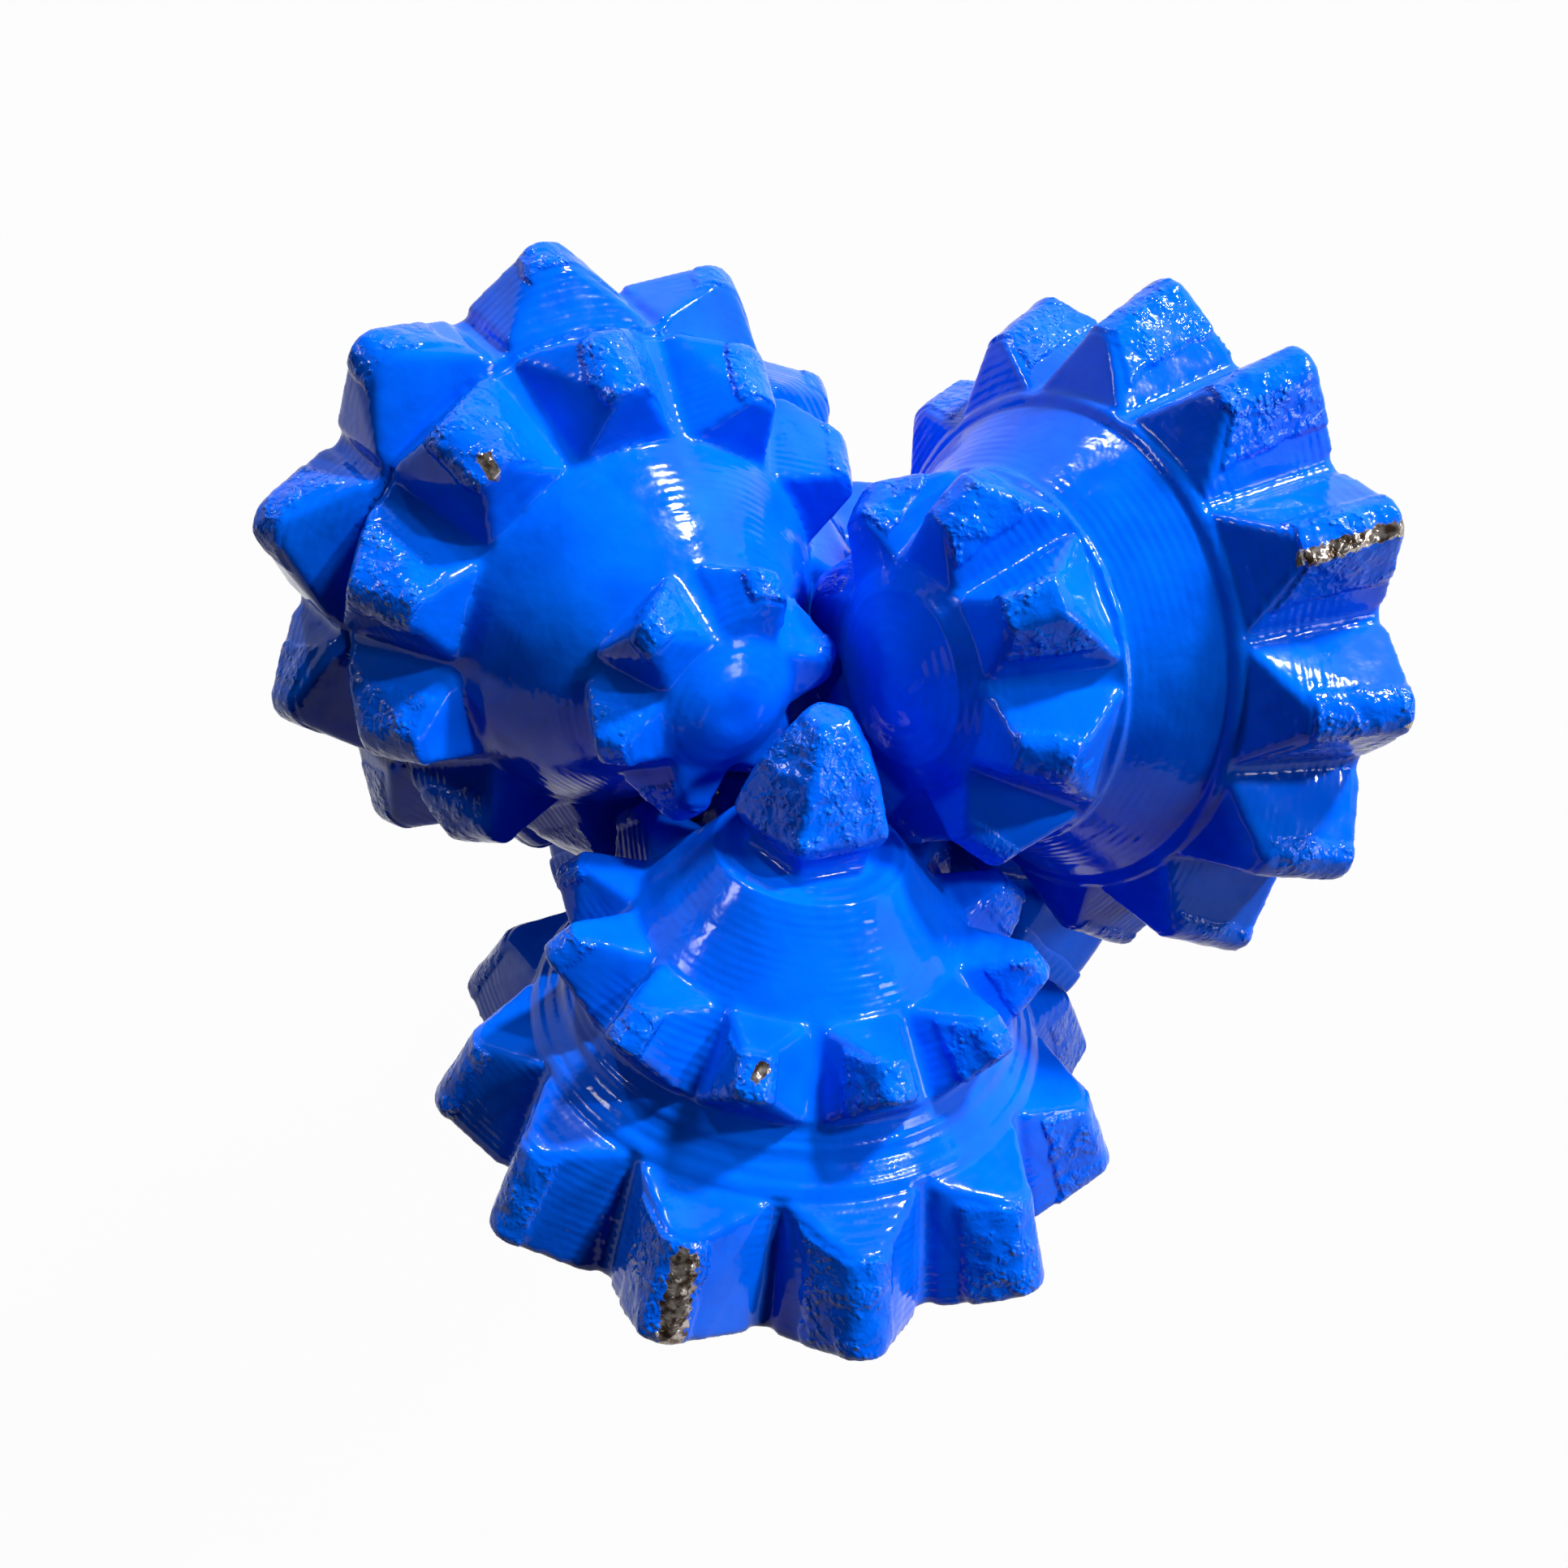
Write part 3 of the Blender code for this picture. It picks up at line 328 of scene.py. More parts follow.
def relax(mesh: bpy.types.Mesh, rounds: int, share: float = 0.5) -> None:
    """Rounds a mesh's edges by moving each vertex towards the middle of its neighbours.

    Args:
        mesh: The mesh, which is changed.
        rounds: How often.
        share: How far each time, from 0 to 1.
    """
    ends = np.empty(len(mesh.edges) * 2, np.int32)
    mesh.edges.foreach_get("vertices", ends)
    first, second = ends.reshape(-1, 2).T
    points = points_of(mesh)
    count = len(points)
    degree = np.maximum(np.bincount(first, minlength=count) + np.bincount(second, minlength=count), 1)
    for _ in range(rounds):
        middle = np.empty_like(points)
        for axis in range(3):
            column = points[:, axis]
            middle[:, axis] = (np.bincount(first, column[second], count)
                               + np.bincount(second, column[first], count)) / degree
        points += share * (middle - points)
    move_points(mesh, points)


def noise_at(points: np.ndarray, size: float, seed: int) -> np.ndarray:
    """Smooth value noise.

    Args:
        points: Where to read it.
        size: Distance between its lattice points.
        seed: Which of its patterns.

    Returns:
        Values from -1 to 1.
    """
    place = points / size
    cell = np.floor(place)
    inner = place - cell
    inner = inner * inner * (3 - 2 * inner)
    total = np.zeros(len(points))
    for corner in np.ndindex(2, 2, 2):
        at = cell + corner
        wave = np.sin(at @ np.array((127.1, 311.7, 74.7)) + 17.3 * seed) * 43758.5453
        value = wave - np.floor(wave)
        weight = np.prod(np.where(np.array(corner) == 1, inner, 1 - inner), axis=1)
        total += weight * value
    return 2 * total - 1


def smoothstep(low: float, high: float, value: np.ndarray) -> np.ndarray:
    """Rises smoothly from 0 at low to 1 at high."""
    share = np.clip((value - low) / (high - low), 0, 1)
    return share * share * (3 - 2 * share)


def store(mesh: bpy.types.Mesh, mask: Mask, values: np.ndarray) -> None:
    """Stores one value for each vertex, under a mask's name."""
    attribute = mesh.attributes.get(mask.value) or mesh.attributes.new(mask.value, "FLOAT", "POINT")
    attribute.data.foreach_set("value", values.astype(np.float32))


def keep_in_box(mesh: bpy.types.Mesh, box: Box, margin: float = 0.02 * MM) -> None:
    """Grinds a mesh off where its lumps would stand out of the frame's box."""
    low, high = (np.array(corner) for corner in box)
    move_points(mesh, np.clip(points_of(mesh), low + margin, high - margin))


def place_piece(name: str, mesh: bpy.types.Mesh, body: str, slot: str, finish: Finish, *nodes: str) -> None:
    """Adds one visible piece to the model.

    Args:
        name: Name of the piece.
        mesh: Its mesh, in the bit's frame.
        body: The body that it moves with.
        slot: Name of a material slot. Not used.
        finish: Its finish.
        nodes: The CAD nodes that it stands for.
    """
    mesh.name = name
    mesh.materials.clear()
    mesh.materials.append(finish.material())
    mesh.shade_smooth()
    mesh.set_sharp_from_angle(angle=SHARP_ANGLE)
    piece = added(name, mesh)
    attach(piece, body)
    if nodes:
        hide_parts(*nodes)
    LOG.info("%s: %d faces", name, len(mesh.polygons))


# Finishes


class Nodes:
    """A small helper that adds nodes to one shader tree and joins them."""

    def __init__(self, tree: bpy.types.NodeTree) -> None:
        """Keeps the tree that is worked on."""
        self.tree = tree

    def add(self, kind: str, **settings: object) -> bpy.types.Node:
        """Adds a node.

        Args:
            kind: Its Blender type.
            settings: Properties of the node to set.

        Returns:
            The node.
        """
        node = self.tree.nodes.new(kind)
        for name, value in settings.items():
            setattr(node, name, value)
        return node

    def join(self, source: Socket, target: Socket) -> None:
        """Links one socket to another."""
        self.tree.links.new(source, target)

    def feed(self, target: Socket, value: Socket | float | tuple[float, ...]) -> None:
        """Links a socket to a target, or sets the target's own value."""
        if isinstance(value, bpy.types.NodeSocket):
            self.join(value, target)
        else:
            target.default_value = value

    def math(self, operation: str, first: Socket | float, second: Socket | float = 0.0,
             clamp: bool = False) -> Socket:
        """Adds a Math node and gives its output."""
        node = self.add("ShaderNodeMath", operation=operation, use_clamp=clamp)
        self.feed(node.inputs[0], first)
        self.feed(node.inputs[1], second)
        return node.outputs[0]

    def step(self, value: Socket | float, low: float, high: float) -> Socket:
        """Adds a Map Range node that rises smoothly from 0 at low to 1 at high."""
        node = self.add("ShaderNodeMapRange", interpolation_type="SMOOTHSTEP")
        self.feed(node.inputs["Value"], value)
        node.inputs["From Min"].default_value = low
        node.inputs["From Max"].default_value = high
        return node.outputs["Result"]

    def mix(self, share: Socket | float, first: Socket | Colour, second: Socket | Colour) -> Socket:
        """Adds a colour Mix node and gives its output."""
        node = self.add("ShaderNodeMix", data_type="RGBA")
        self.feed(node.inputs[0], share)
        self.feed(node.inputs[6], first)
        self.feed(node.inputs[7], second)
        return node.outputs[2]

    def noise(self, scale: float, detail: float = 2.0, stretch: Place = (1, 1, 1)) -> Socket:
        """Adds a Noise texture in object coordinates and gives its value."""
        place = self.add("ShaderNodeTexCoord").outputs["Object"]
        mapping = self.add("ShaderNodeMapping")
        mapping.inputs["Scale"].default_value = stretch
        self.join(place, mapping.inputs["Vector"])
        texture = self.add("ShaderNodeTexNoise")
        texture.inputs["Scale"].default_value = scale
        texture.inputs["Detail"].default_value = detail
        self.join(mapping.outputs[0], texture.inputs["Vector"])
        return texture.outputs["Fac"]

    def attribute(self, mask: Mask) -> Socket:
        """Adds an Attribute node that reads a mask and gives its value."""
        node = self.add("ShaderNodeAttribute", attribute_name=mask.value)
        return node.outputs["Fac"]

    def bump(self, height: Socket, distance: float, strength: float = 1.0,
             normal: Socket | None = None) -> Socket:
        """Adds a Bump node and gives its normal."""
        node = self.add("ShaderNodeBump")
        node.inputs["Strength"].default_value = strength
        node.inputs["Distance"].default_value = distance
        self.join(height, node.inputs["Height"])
        if normal:
            self.join(normal, node.inputs["Normal"])
        return node.outputs["Normal"]


class Effects:
    """The node groups that several materials share. Each is built once, on first use."""

    @staticmethod
    def _group(name: str, inputs: dict[str, float],
               outputs: dict[str, str]) -> tuple[Group, Nodes, tuple[bpy.types.Node, ...]]:
        """Finds or starts a node group.

        Args:
            name: Its name.
            inputs: Its float inputs and their defaults.
            outputs: Its outputs and their socket types.

        Returns:
            The group, a helper for it, and its input and output nodes where it is new and still empty.
        """
        found = bpy.data.node_groups.get(name)
        if found:
            return found, Nodes(found), ()
        group = bpy.data.node_groups.new(name, "ShaderNodeTree")
        for label, value in inputs.items():
            socket = group.interface.new_socket(label, in_out="INPUT", socket_type="NodeSocketFloat")
            socket.default_value = value
        for label, kind in outputs.items():
            group.interface.new_socket(label, in_out="OUTPUT", socket_type=kind)
        nodes = Nodes(group)
        return group, nodes, (nodes.add("NodeGroupInput"), nodes.add("NodeGroupOutput"))

    @classmethod
    def hardfacing(cls) -> Group:
        """Hard metal welded on under paint: a crinkled skin with single grains standing out."""
        group, nodes, ends = cls._group(
            "hardfacing", {"Mask": 0.0, "Crinkle Scale": 540.0, "Grain Scale": 600.0},
            {"Height": "NodeSocketFloat", "Grain": "NodeSocketFloat"})
        if ends:
            entry, leave = ends
            place = nodes.add("ShaderNodeTexCoord").outputs["Object"]
            crinkle = nodes.add("ShaderNodeTexNoise")
            crinkle.inputs["Detail"].default_value = 2.0
            crinkle.inputs["Roughness"].default_value = 0.45
            crinkle.inputs["Distortion"].default_value = 0.6
            nodes.join(place, crinkle.inputs["Vector"])
            nodes.join(entry.outputs["Crinkle Scale"], crinkle.inputs["Scale"])
            grains = nodes.add("ShaderNodeTexVoronoi", feature="F1")
            nodes.join(place, grains.inputs["Vector"])
            nodes.join(entry.outputs["Grain Scale"], grains.inputs["Scale"])
            chance = nodes.add("ShaderNodeSeparateColor")
            nodes.join(grains.outputs["Color"], chance.inputs["Color"])
            crowded = nodes.step(nodes.noise(150.0, 2.0), 0.40, 0.62)
            chosen = nodes.step(chance.outputs["Red"], 0.35, 0.50)
            stands_out = nodes.math("MULTIPLY", chosen, nodes.math("ADD", 0.25, crowded))
            pimple = nodes.math("SUBTRACT", 1.0, nodes.step(grains.outputs["Distance"], 0.05, 0.45))
            grain = nodes.math("MULTIPLY", pimple, stands_out)
            rough = nodes.math("MULTIPLY", crinkle.outputs["Fac"], nodes.math("ADD", 0.3, crowded))
            height = nodes.math("ADD", nodes.math("MULTIPLY", rough, 0.55),
                                nodes.math("MULTIPLY", grain, 0.26))
            nodes.join(nodes.math("MULTIPLY", height, entry.outputs["Mask"]), leave.inputs["Height"])
            # The Grain output marks the grains, which the paint lightens as a painted glint.
            nodes.join(nodes.math("MULTIPLY", grain, entry.outputs["Mask"]), leave.inputs["Grain"])
        return group

    @classmethod
    def turning(cls) -> Group:
        """Rings that a lathe leaves, read along the profile and a little uneven round the axis."""
        group, nodes, ends = cls._group(
            "turning_marks", {"Along": 0.0, "Pitch": 1.7 * MM, "Unevenness": 0.5},
            {"Height": "NodeSocketFloat"})
        if ends:
            entry, leave = ends
            wander = nodes.math("MULTIPLY", nodes.noise(90.0, 2.0), entry.outputs["Unevenness"])
            turns = nodes.math("DIVIDE", entry.outputs["Along"], entry.outputs["Pitch"])
            phase = nodes.math("MULTIPLY", nodes.math("ADD", turns, wander), 2 * math.pi)
            wave = nodes.math("MULTIPLY", nodes.math("SINE", phase), 0.5)
            slow = nodes.math("SINE", nodes.math("MULTIPLY", phase, 0.31))
            strength = nodes.step(nodes.noise(45.0, 2.0), 0.40, 0.65)
            total = nodes.math("ADD", wave, nodes.math("MULTIPLY", slow, 0.6))
            nodes.join(nodes.math("MULTIPLY", total, strength), leave.inputs["Height"])
        return group

    @classmethod
    def worn_paint(cls) -> Group:
        """Where paint is rubbed off: ragged patches of brown and grey metal round given places."""
        group, nodes, ends = cls._group(
            "worn_paint", {"Wear": 0.0, "Scale": 700.0},
            {"Mask": "NodeSocketFloat", "Colour": "NodeSocketColor"})
        if ends:
            entry, leave = ends
            place = nodes.add("ShaderNodeTexCoord").outputs["Object"]
            ragged = nodes.add("ShaderNodeTexNoise")
            ragged.inputs["Detail"].default_value = 4.0
            nodes.join(place, ragged.inputs["Vector"])
            nodes.join(entry.outputs["Scale"], ragged.inputs["Scale"])
            level = nodes.math("ADD", entry.outputs["Wear"],
                               nodes.math("MULTIPLY", ragged.outputs["Fac"], 0.9))
            nodes.join(nodes.step(level, 1.02, 1.12), leave.inputs["Mask"])
            tone = nodes.step(nodes.noise(500.0, 3.0), 0.38, 0.62)
            colour = nodes.mix(tone, (0.10, 0.065, 0.045, 1), (0.52, 0.46, 0.42, 1))
            nodes.join(colour, leave.inputs["Colour"])
        return group


@dataclass(frozen=True)
class Finish:
    """A finish that makes its material once.

    Attributes:
        name: Name of the material.
        colour: Its base colour.
        roughness: Its roughness.
    """

    name: str
    colour: Colour
    roughness: float

    def material(self) -> bpy.types.Material:
        """Gives the material, which is made on first use."""
        found = bpy.data.materials.get(self.name)
        if found:
            return found
        made = bpy.data.materials.new(self.name)
        made.use_nodes = True
        nodes = Nodes(made.node_tree)
        self.dress(nodes, made.node_tree.nodes["Principled BSDF"])
        return made

    def dress(self, nodes: Nodes, shader: bpy.types.Node) -> None:
        """Sets up the shader. Each kind of finish does this its own way."""
        raise NotImplementedError


@dataclass(frozen=True)
class GlossPaint(Finish):
    """Thick gloss paint brushed over turned, forged or hardfaced steel.

    Attributes:
        deep_colour: Colour where the paint lies thick.
        turned: Strength of the turning marks that show through.
        specular: Strength of its mirror gloss.
        painted_glint_colour: Lighter blue painted on the grains of hardfacing, a painted glint.
        brush_depth: Depth of the brush's waves.
        ring_depth: Depth of the turning marks.
        bead_depth: Depth of the hardfacing's crinkles and grains.
    """

    deep_colour: Colour = (0.0, 0.06, 0.62, 1)
    turned: float = 0.25
    specular: float = 0.18
    # Lighter blue for the hardfacing's grains: a painted glint, not a colour of the paint.
    painted_glint_colour: Colour = (0.0, 0.17, 0.9, 1)
    brush_depth: float = 0.6 * MM
    ring_depth: float = 0.12 * MM
    bead_depth: float = 1.0 * MM

    def dress(self, nodes: Nodes, shader: bpy.types.Node) -> None:
        """Mixes paint, painted glints on the hardfacing's grains and worn metal, and stacks the bumps of
        hardfacing, lathe and brush.
        """
        mask = nodes.attribute(Mask.HARDFACING)
        beads = nodes.add("ShaderNodeGroup", node_tree=Effects.hardfacing())
        nodes.join(mask, beads.inputs["Mask"])
        rings = nodes.add("ShaderNodeGroup", node_tree=Effects.turning())
        nodes.join(nodes.attribute(Mask.ALONG), rings.inputs["Along"])
        worn = nodes.add("ShaderNodeGroup", node_tree=Effects.worn_paint())
        nodes.join(nodes.attribute(Mask.WEAR), worn.inputs["Wear"])
        smooth = nodes.math("SUBTRACT", 1.0, mask, clamp=True)
        marks = nodes.math("MULTIPLY", rings.outputs["Height"], self.turned)
        ring_height = nodes.math("MULTIPLY", marks, smooth)
        brush = nodes.noise(160.0, 3.0, (1, 1, 0.5))
        first = nodes.bump(brush, self.brush_depth, 0.5)
        second = nodes.bump(ring_height, self.ring_depth, 1.0, first)
        third = nodes.bump(beads.outputs["Height"], self.bead_depth, 1.0, second)
        nodes.join(third, shader.inputs["Normal"])
        thick = nodes.step(nodes.noise(70.0, 3.0), 0.35, 0.7)
        paint = nodes.mix(nodes.math("MULTIPLY", thick, 0.45), self.colour, self.deep_colour)
        # Painted highlight: the grains of hardfacing get a lighter blue that stands in for their glints.
        grain = nodes.math("MULTIPLY", beads.outputs["Grain"], 0.5)
        painted_glints = nodes.mix(grain, paint, self.painted_glint_colour)
        colour = nodes.mix(worn.outputs["Mask"], painted_glints, worn.outputs["Colour"])
        nodes.join(colour, shader.inputs["Base Color"])
        nodes.join(nodes.math("MULTIPLY", worn.outputs["Mask"], 0.75), shader.inputs["Metallic"])
        uneven = nodes.math("MULTIPLY", nodes.step(nodes.noise(240.0, 2.0), 0.3, 0.8), 0.14)
        nodes.join(nodes.math("ADD", uneven, self.roughness), shader.inputs["Roughness"])
        shader.inputs["Specular IOR Level"].default_value = self.specular


@dataclass(frozen=True)
class TurnedMetal(Finish):
    """Machined or ground metal with fine turning marks and handling stains.

    Attributes:
        stain: Colour of the stains.
        stain_share: How much of the surface they cover.
        metallic: How metallic it is.
        pitch: Distance between its turning marks.
        ring_depth: Depth of the turning marks.
        grain_depth: Depth of its fine grain.
    """

    stain: Colour = (0.16, 0.14, 0.12, 1)
    stain_share: float = 0.35
    metallic: float = 1.0
    pitch: float = 0.5 * MM
    ring_depth: float = 0.03 * MM
    grain_depth: float = 0.08 * MM

    def dress(self, nodes: Nodes, shader: bpy.types.Node) -> None:
        """Mixes metal and stains, with rings and grain in the bump."""
        rings = nodes.add("ShaderNodeGroup", node_tree=Effects.turning())
        rings.inputs["Pitch"].default_value = self.pitch
        nodes.join(nodes.attribute(Mask.ALONG), rings.inputs["Along"])
        first = nodes.bump(nodes.noise(1800.0, 3.0), self.grain_depth, 0.6)
        second = nodes.bump(rings.outputs["Height"], self.ring_depth, 0.8, first)
        nodes.join(second, shader.inputs["Normal"])
        patch = nodes.math("MULTIPLY", nodes.step(nodes.noise(130.0, 4.0), 0.48, 0.72), self.stain_share)
        nodes.join(nodes.mix(patch, self.colour, self.stain), shader.inputs["Base Color"])
        rough = nodes.math("MULTIPLY", nodes.step(nodes.noise(420.0, 3.0), 0.3, 0.8), 0.18)
        nodes.join(nodes.math("ADD", rough, self.roughness), shader.inputs["Roughness"])
        shader.inputs["Metallic"].default_value = self.metallic


@dataclass(frozen=True)
class MouldedRubber(Finish):
    """Matt seal rubber with a moulding grain and a greasy bloom."""

    def dress(self, nodes: Nodes, shader: bpy.types.Node) -> None:
        """Mixes black rubber and bloom over a fine grain."""
        nodes.join(nodes.bump(nodes.noise(2600.0, 3.0), 0.06 * MM, 0.7), shader.inputs["Normal"])
        bloom = nodes.step(nodes.noise(220.0, 3.0), 0.45, 0.8)
        lighter = tuple(3.2 * value for value in self.colour[:3]) + (1,)
        nodes.join(nodes.mix(bloom, self.colour, lighter), shader.inputs["Base Color"])
        nodes.join(nodes.math("SUBTRACT", self.roughness, nodes.math("MULTIPLY", bloom, 0.2)),
                   shader.inputs["Roughness"])


PAINT = GlossPaint("blue_gloss_paint", (0.0, 0.125, 0.88, 1), 0.14)
CONE_PAINT = GlossPaint("blue_cone_paint", (0.0, 0.125, 0.88, 1), 0.08, turned=0.4)
GROUND_STEEL = TurnedMetal("ground_bearing_steel", (0.56, 0.57, 0.59, 1), 0.2)
PLAIN_STEEL = TurnedMetal("machined_steel", (0.42, 0.43, 0.45, 1), 0.3, stain_share=0.6)
THREAD_STEEL = TurnedMetal("greased_thread_steel", (0.30, 0.29, 0.28, 1), 0.32,
                           stain=(0.10, 0.075, 0.05, 1), stain_share=0.8)
BRONZE = TurnedMetal("bearing_bronze", (0.62, 0.40, 0.19, 1), 0.3, stain=(0.22, 0.11, 0.05, 1))
CARBIDE = TurnedMetal("ground_carbide", (0.25, 0.26, 0.28, 1), 0.28, pitch=0.3 * MM)
RUBBER = MouldedRubber("seal_rubber", (0.012, 0.012, 0.012, 1), 0.7)


# Cones


@dataclass(frozen=True)
class ToothRow:
    """One row of milled teeth.

    Attributes:
        count: Number of teeth.
        phase: Turn of the first tooth.
        root: Distances of a root's inner and outer end from the journal's origin.
        crest: The same for the crest.
        tips: Angles of the crest's ends from the journal's axis.
        crest_width: Width of the flat on top.
        root_share: Part of the pitch that a root fills.
    """

    count: int
    phase: float
    root: tuple[float, float]
    crest: tuple[float, float]
    tips: tuple[float, float]
    crest_width: float
    root_share: float


@dataclass(frozen=True)
class Spear:
    """The pointed tooth on a cone's nose, as heights and radii about the journal's axis."""

    tip: tuple[float, float] = (-4.5 * MM, 4.2 * MM)
    swell: tuple[float, float] = (5.5 * MM, 11.2 * MM)
    corner: tuple[float, float] = (16.0 * MM, 15.0 * MM)
    neck: tuple[float, float] = (21.5 * MM, 12.0 * MM)
    sides: int = 5


@dataclass(frozen=True)
class WornEdge:
    """A stretch of a tooth's edge that has lost its paint.

    Attributes:
        start: Where it starts, as a height, a radius and a turn in degrees.
        end: Where it ends.
        reach: How far the bare metal reaches to either side.
    """

    start: Place
    end: Place
    reach: float

    @staticmethod
    def spot(place: Place) -> np.ndarray:
        """Gives a place in the journal's frame."""
        height, radius, turn = place[0], place[1], math.radians(place[2])
        return np.array((radius * math.cos(turn), radius * math.sin(turn), height))

    def wear(self, points: np.ndarray) -> np.ndarray:
        """Gives how worn each point is.

        Args:
            points: Positions in the journal's frame.

        Returns:
            About 1 on the edge, falling to 0 away from it.
        """
        first, last = self.spot(self.start), self.spot(self.end)
        along = last - first
        share = np.clip((points - first) @ along / max(along @ along, 1e-12), 0, 1)
        far = np.linalg.norm(points - first - share[:, None] * along, axis=1) / self.reach
        return np.clip(1.15 - 0.75 * far, 0, 1)


@dataclass
class Cone:
    """A cone with its milled teeth, dressed with hardfacing and paint.

    Attributes:
        number: Which cone it is.
        nose: (height, radius) points of its nose, from the axis outwards.
        rows: Its inner rows of teeth.
        heel: Its outermost row, whose outer ends cut the hole's wall.
        relief: (distance, lift) points that raise or lower the shell between the rows.
        worn: Its worn edges.
        spear: The pointed tooth on its nose, where it has one.
        seed: Number that varies its hand-finished surface.
        growth: How far a remeshed crest is raised, as it is rounded down again.
        tip_sway: How far one tooth's tip stands above or below another's.
        side_sway: How far one tooth's tip leans to a side.
        pad: Thickness of the hardfacing.
        pad_start: Where it starts on the flank that cuts, from 0 at the root to 1 at the crest.
        far_pad_start: The same on the other flank.
        pad_margin: How far it stays off a tooth's inner end.
        pad_fade: Where it has its full thickness there.
        pad_ragged: How ragged its ends are.
        rise_fade: How softly it starts on a flank, as a part of the flank.
        rise_ragged: How ragged that start is.
        pad_lumps: Height of its lumps.
        pad_waves: Height of its longer waves.
        shell_waves: Height of the waves of the shell between the teeth.
        relief_reach: Distance off the shell up to which the relief holds in full.
        relief_end: Distance off the shell at which it ends.
        bore_zone: Radius within which the cone's surface belongs to its bore.
    """

    number: int
    nose: Outline
    rows: list[ToothRow]
    heel: ToothRow
    relief: list[tuple[float, float]]
    worn: list[WornEdge] = field(default_factory=list)
    spear: Spear | None = None
    seed: int = 1
    shell_angle: float = math.radians(38.6)
    back_face: float = BACK_FACE
    cut_radius: float = 107.55 * MM
    relief_at_gage: float = 0.6 * MM
    heel_root_angle: float = math.radians(33.2)
    gage_tip_angle: float = math.radians(40.3)
    tooth_sink: float = 3 * MM
    crest_crown: float = 0.6 * MM
    growth: float = 0.45 * MM
    crest_widening: float = 1.1 * MM
    voxel: float = 0.7 * MM
    rounding: int = 6
    tip_sway: float = 0.5 * MM
    side_sway: float = 0.9 * MM
    pad: float = 0.38 * MM
    pad_start: float = 0.40
    far_pad_start: float = 0.84
    pad_margin: float = 0.6 * MM
    pad_fade: float = 1.5 * MM
    pad_ragged: float = 0.5 * MM
    rise_fade: float = 0.035
    rise_ragged: float = 0.05
    pad_lumps: float = 0.22 * MM
    pad_waves: float = 0.15 * MM
    shell_waves: float = 0.05 * MM
    relief_reach: float = 1.2 * MM
    relief_end: float = 2.6 * MM
    bore_zone: float = 33.6 * MM
    bore_zone_start: float = 36.5 * MM
    bore_zone_slope: float = math.tan(0.5)
    segments: int = 144

    def on_gage(self, angle: float, relief: float = 0.0) -> tuple[float, float]:
        """Gives the (height, radius) of the gage surface's point at this angle, less a relief."""
        return polar((self.cut_radius - relief) / math.cos(angle - JOURNALS.angle), angle)

    def shell(self) -> bpy.types.Mesh:
        """Turns the cone without its teeth."""
        back_radius = (self.cut_radius - self.back_face * math.cos(JOURNALS.angle)) / math.sin(JOURNALS.angle)
        back_angle = math.atan2(back_radius, self.back_face)
        stations = [(self.back_face, 0.0), self.on_gage(back_angle, self.relief_at_gage),
                    self.on_gage(self.heel_root_angle, self.relief_at_gage)]
        stations += [polar(distance, self.shell_angle) for distance, _ in reversed(self.relief)]
        stations += list(reversed(self.nose))
        return turned([(radius, height) for height, radius in stations], self.segments)

    def tooth_corners(self, row: ToothRow, is_heel: bool, sway: np.ndarray) -> list[Place]:
        """Lists the corners of one tooth whose middle lies at no turn.

        Args:
            row: Its row.
            is_heel: Whether its outer end lies on the gage surface.
            sway: Small numbers that make the tooth differ from its neighbours.

        Returns:
            The corners of its wedge.
        """
        roots = [polar(row.root[0], self.shell_angle), polar(row.root[1], self.shell_angle)]
        crests = [polar(row.crest[0], row.tips[0]), polar(row.crest[1], row.tips[1])]
        if is_heel:
            roots[1] = self.on_gage(self.heel_root_angle, self.relief_at_gage)
            crests[1] = self.on_gage(self.gage_tip_angle)
        corners = []
        for height, radius in roots:
            half = row.root_share * math.pi * radius / row.count
            for side in (-half, half):
                corners += [(radius, side, height), (radius - self.tooth_sink, side, height)]
        half = row.crest_width / 2 + self.crest_widening
        for index, (height, radius) in enumerate(crests):
            raised = radius + self.growth + self.tip_sway * sway[index]
            shift = self.side_sway * sway[2 + index]
            corners += [(raised, shift - half, height), (raised, shift + half, height),
                        (raised + self.crest_crown, shift, height)]
        return corners

    def teeth(self) -> list[bpy.types.Mesh]:
        """Makes the wedges of all rows and the spear, each a closed mesh."""
        chance = np.random.default_rng(self.seed)
        made = []
        for row in (*self.rows, self.heel):
            for index in range(row.count):
                sway = chance.uniform(-1, 1, 4)
                turn = Matrix.Rotation(row.phase + 2 * math.pi * index / row.count, 4, "Z")
                work = bmesh.new()
                verts = [work.verts.new(corner) for corner in self.tooth_corners(row, row is self.heel, sway)]
                hull = bmesh.ops.convex_hull(work, input=verts)
                inner = [item for item in hull["geom_interior"] if isinstance(item, bmesh.types.BMVert)]
                bmesh.ops.delete(work, geom=inner, context="VERTS")
                bmesh.ops.transform(work, matrix=turn, verts=work.verts)
                made.append(finished(work, "tooth"))
        if self.spear:
            spear = self.spear
            root_height = self.nose[-1][0] + self.tooth_sink
            outline = [(0, root_height), (spear.neck[1], root_height), (spear.neck[1], spear.neck[0]),
                       (spear.corner[1] + self.growth, spear.corner[0]),
                       (spear.swell[1] + self.growth, spear.swell[0]),
                       (spear.tip[1] + self.growth, spear.tip[0]), (0, spear.tip[0])]
            made.append(turned(outline, spear.sides))
        return made

    def melted(self) -> bpy.types.Mesh:
        """Melts the shell and its teeth into one soft-edged skin."""
        work = bmesh.new()
        for mesh in (self.shell(), *self.teeth()):
            work.from_mesh(mesh)
            bpy.data.meshes.remove(mesh)
        skin = remeshed(finished(work, "clay"), self.voxel)
        relax(skin, self.rounding)
        return skin

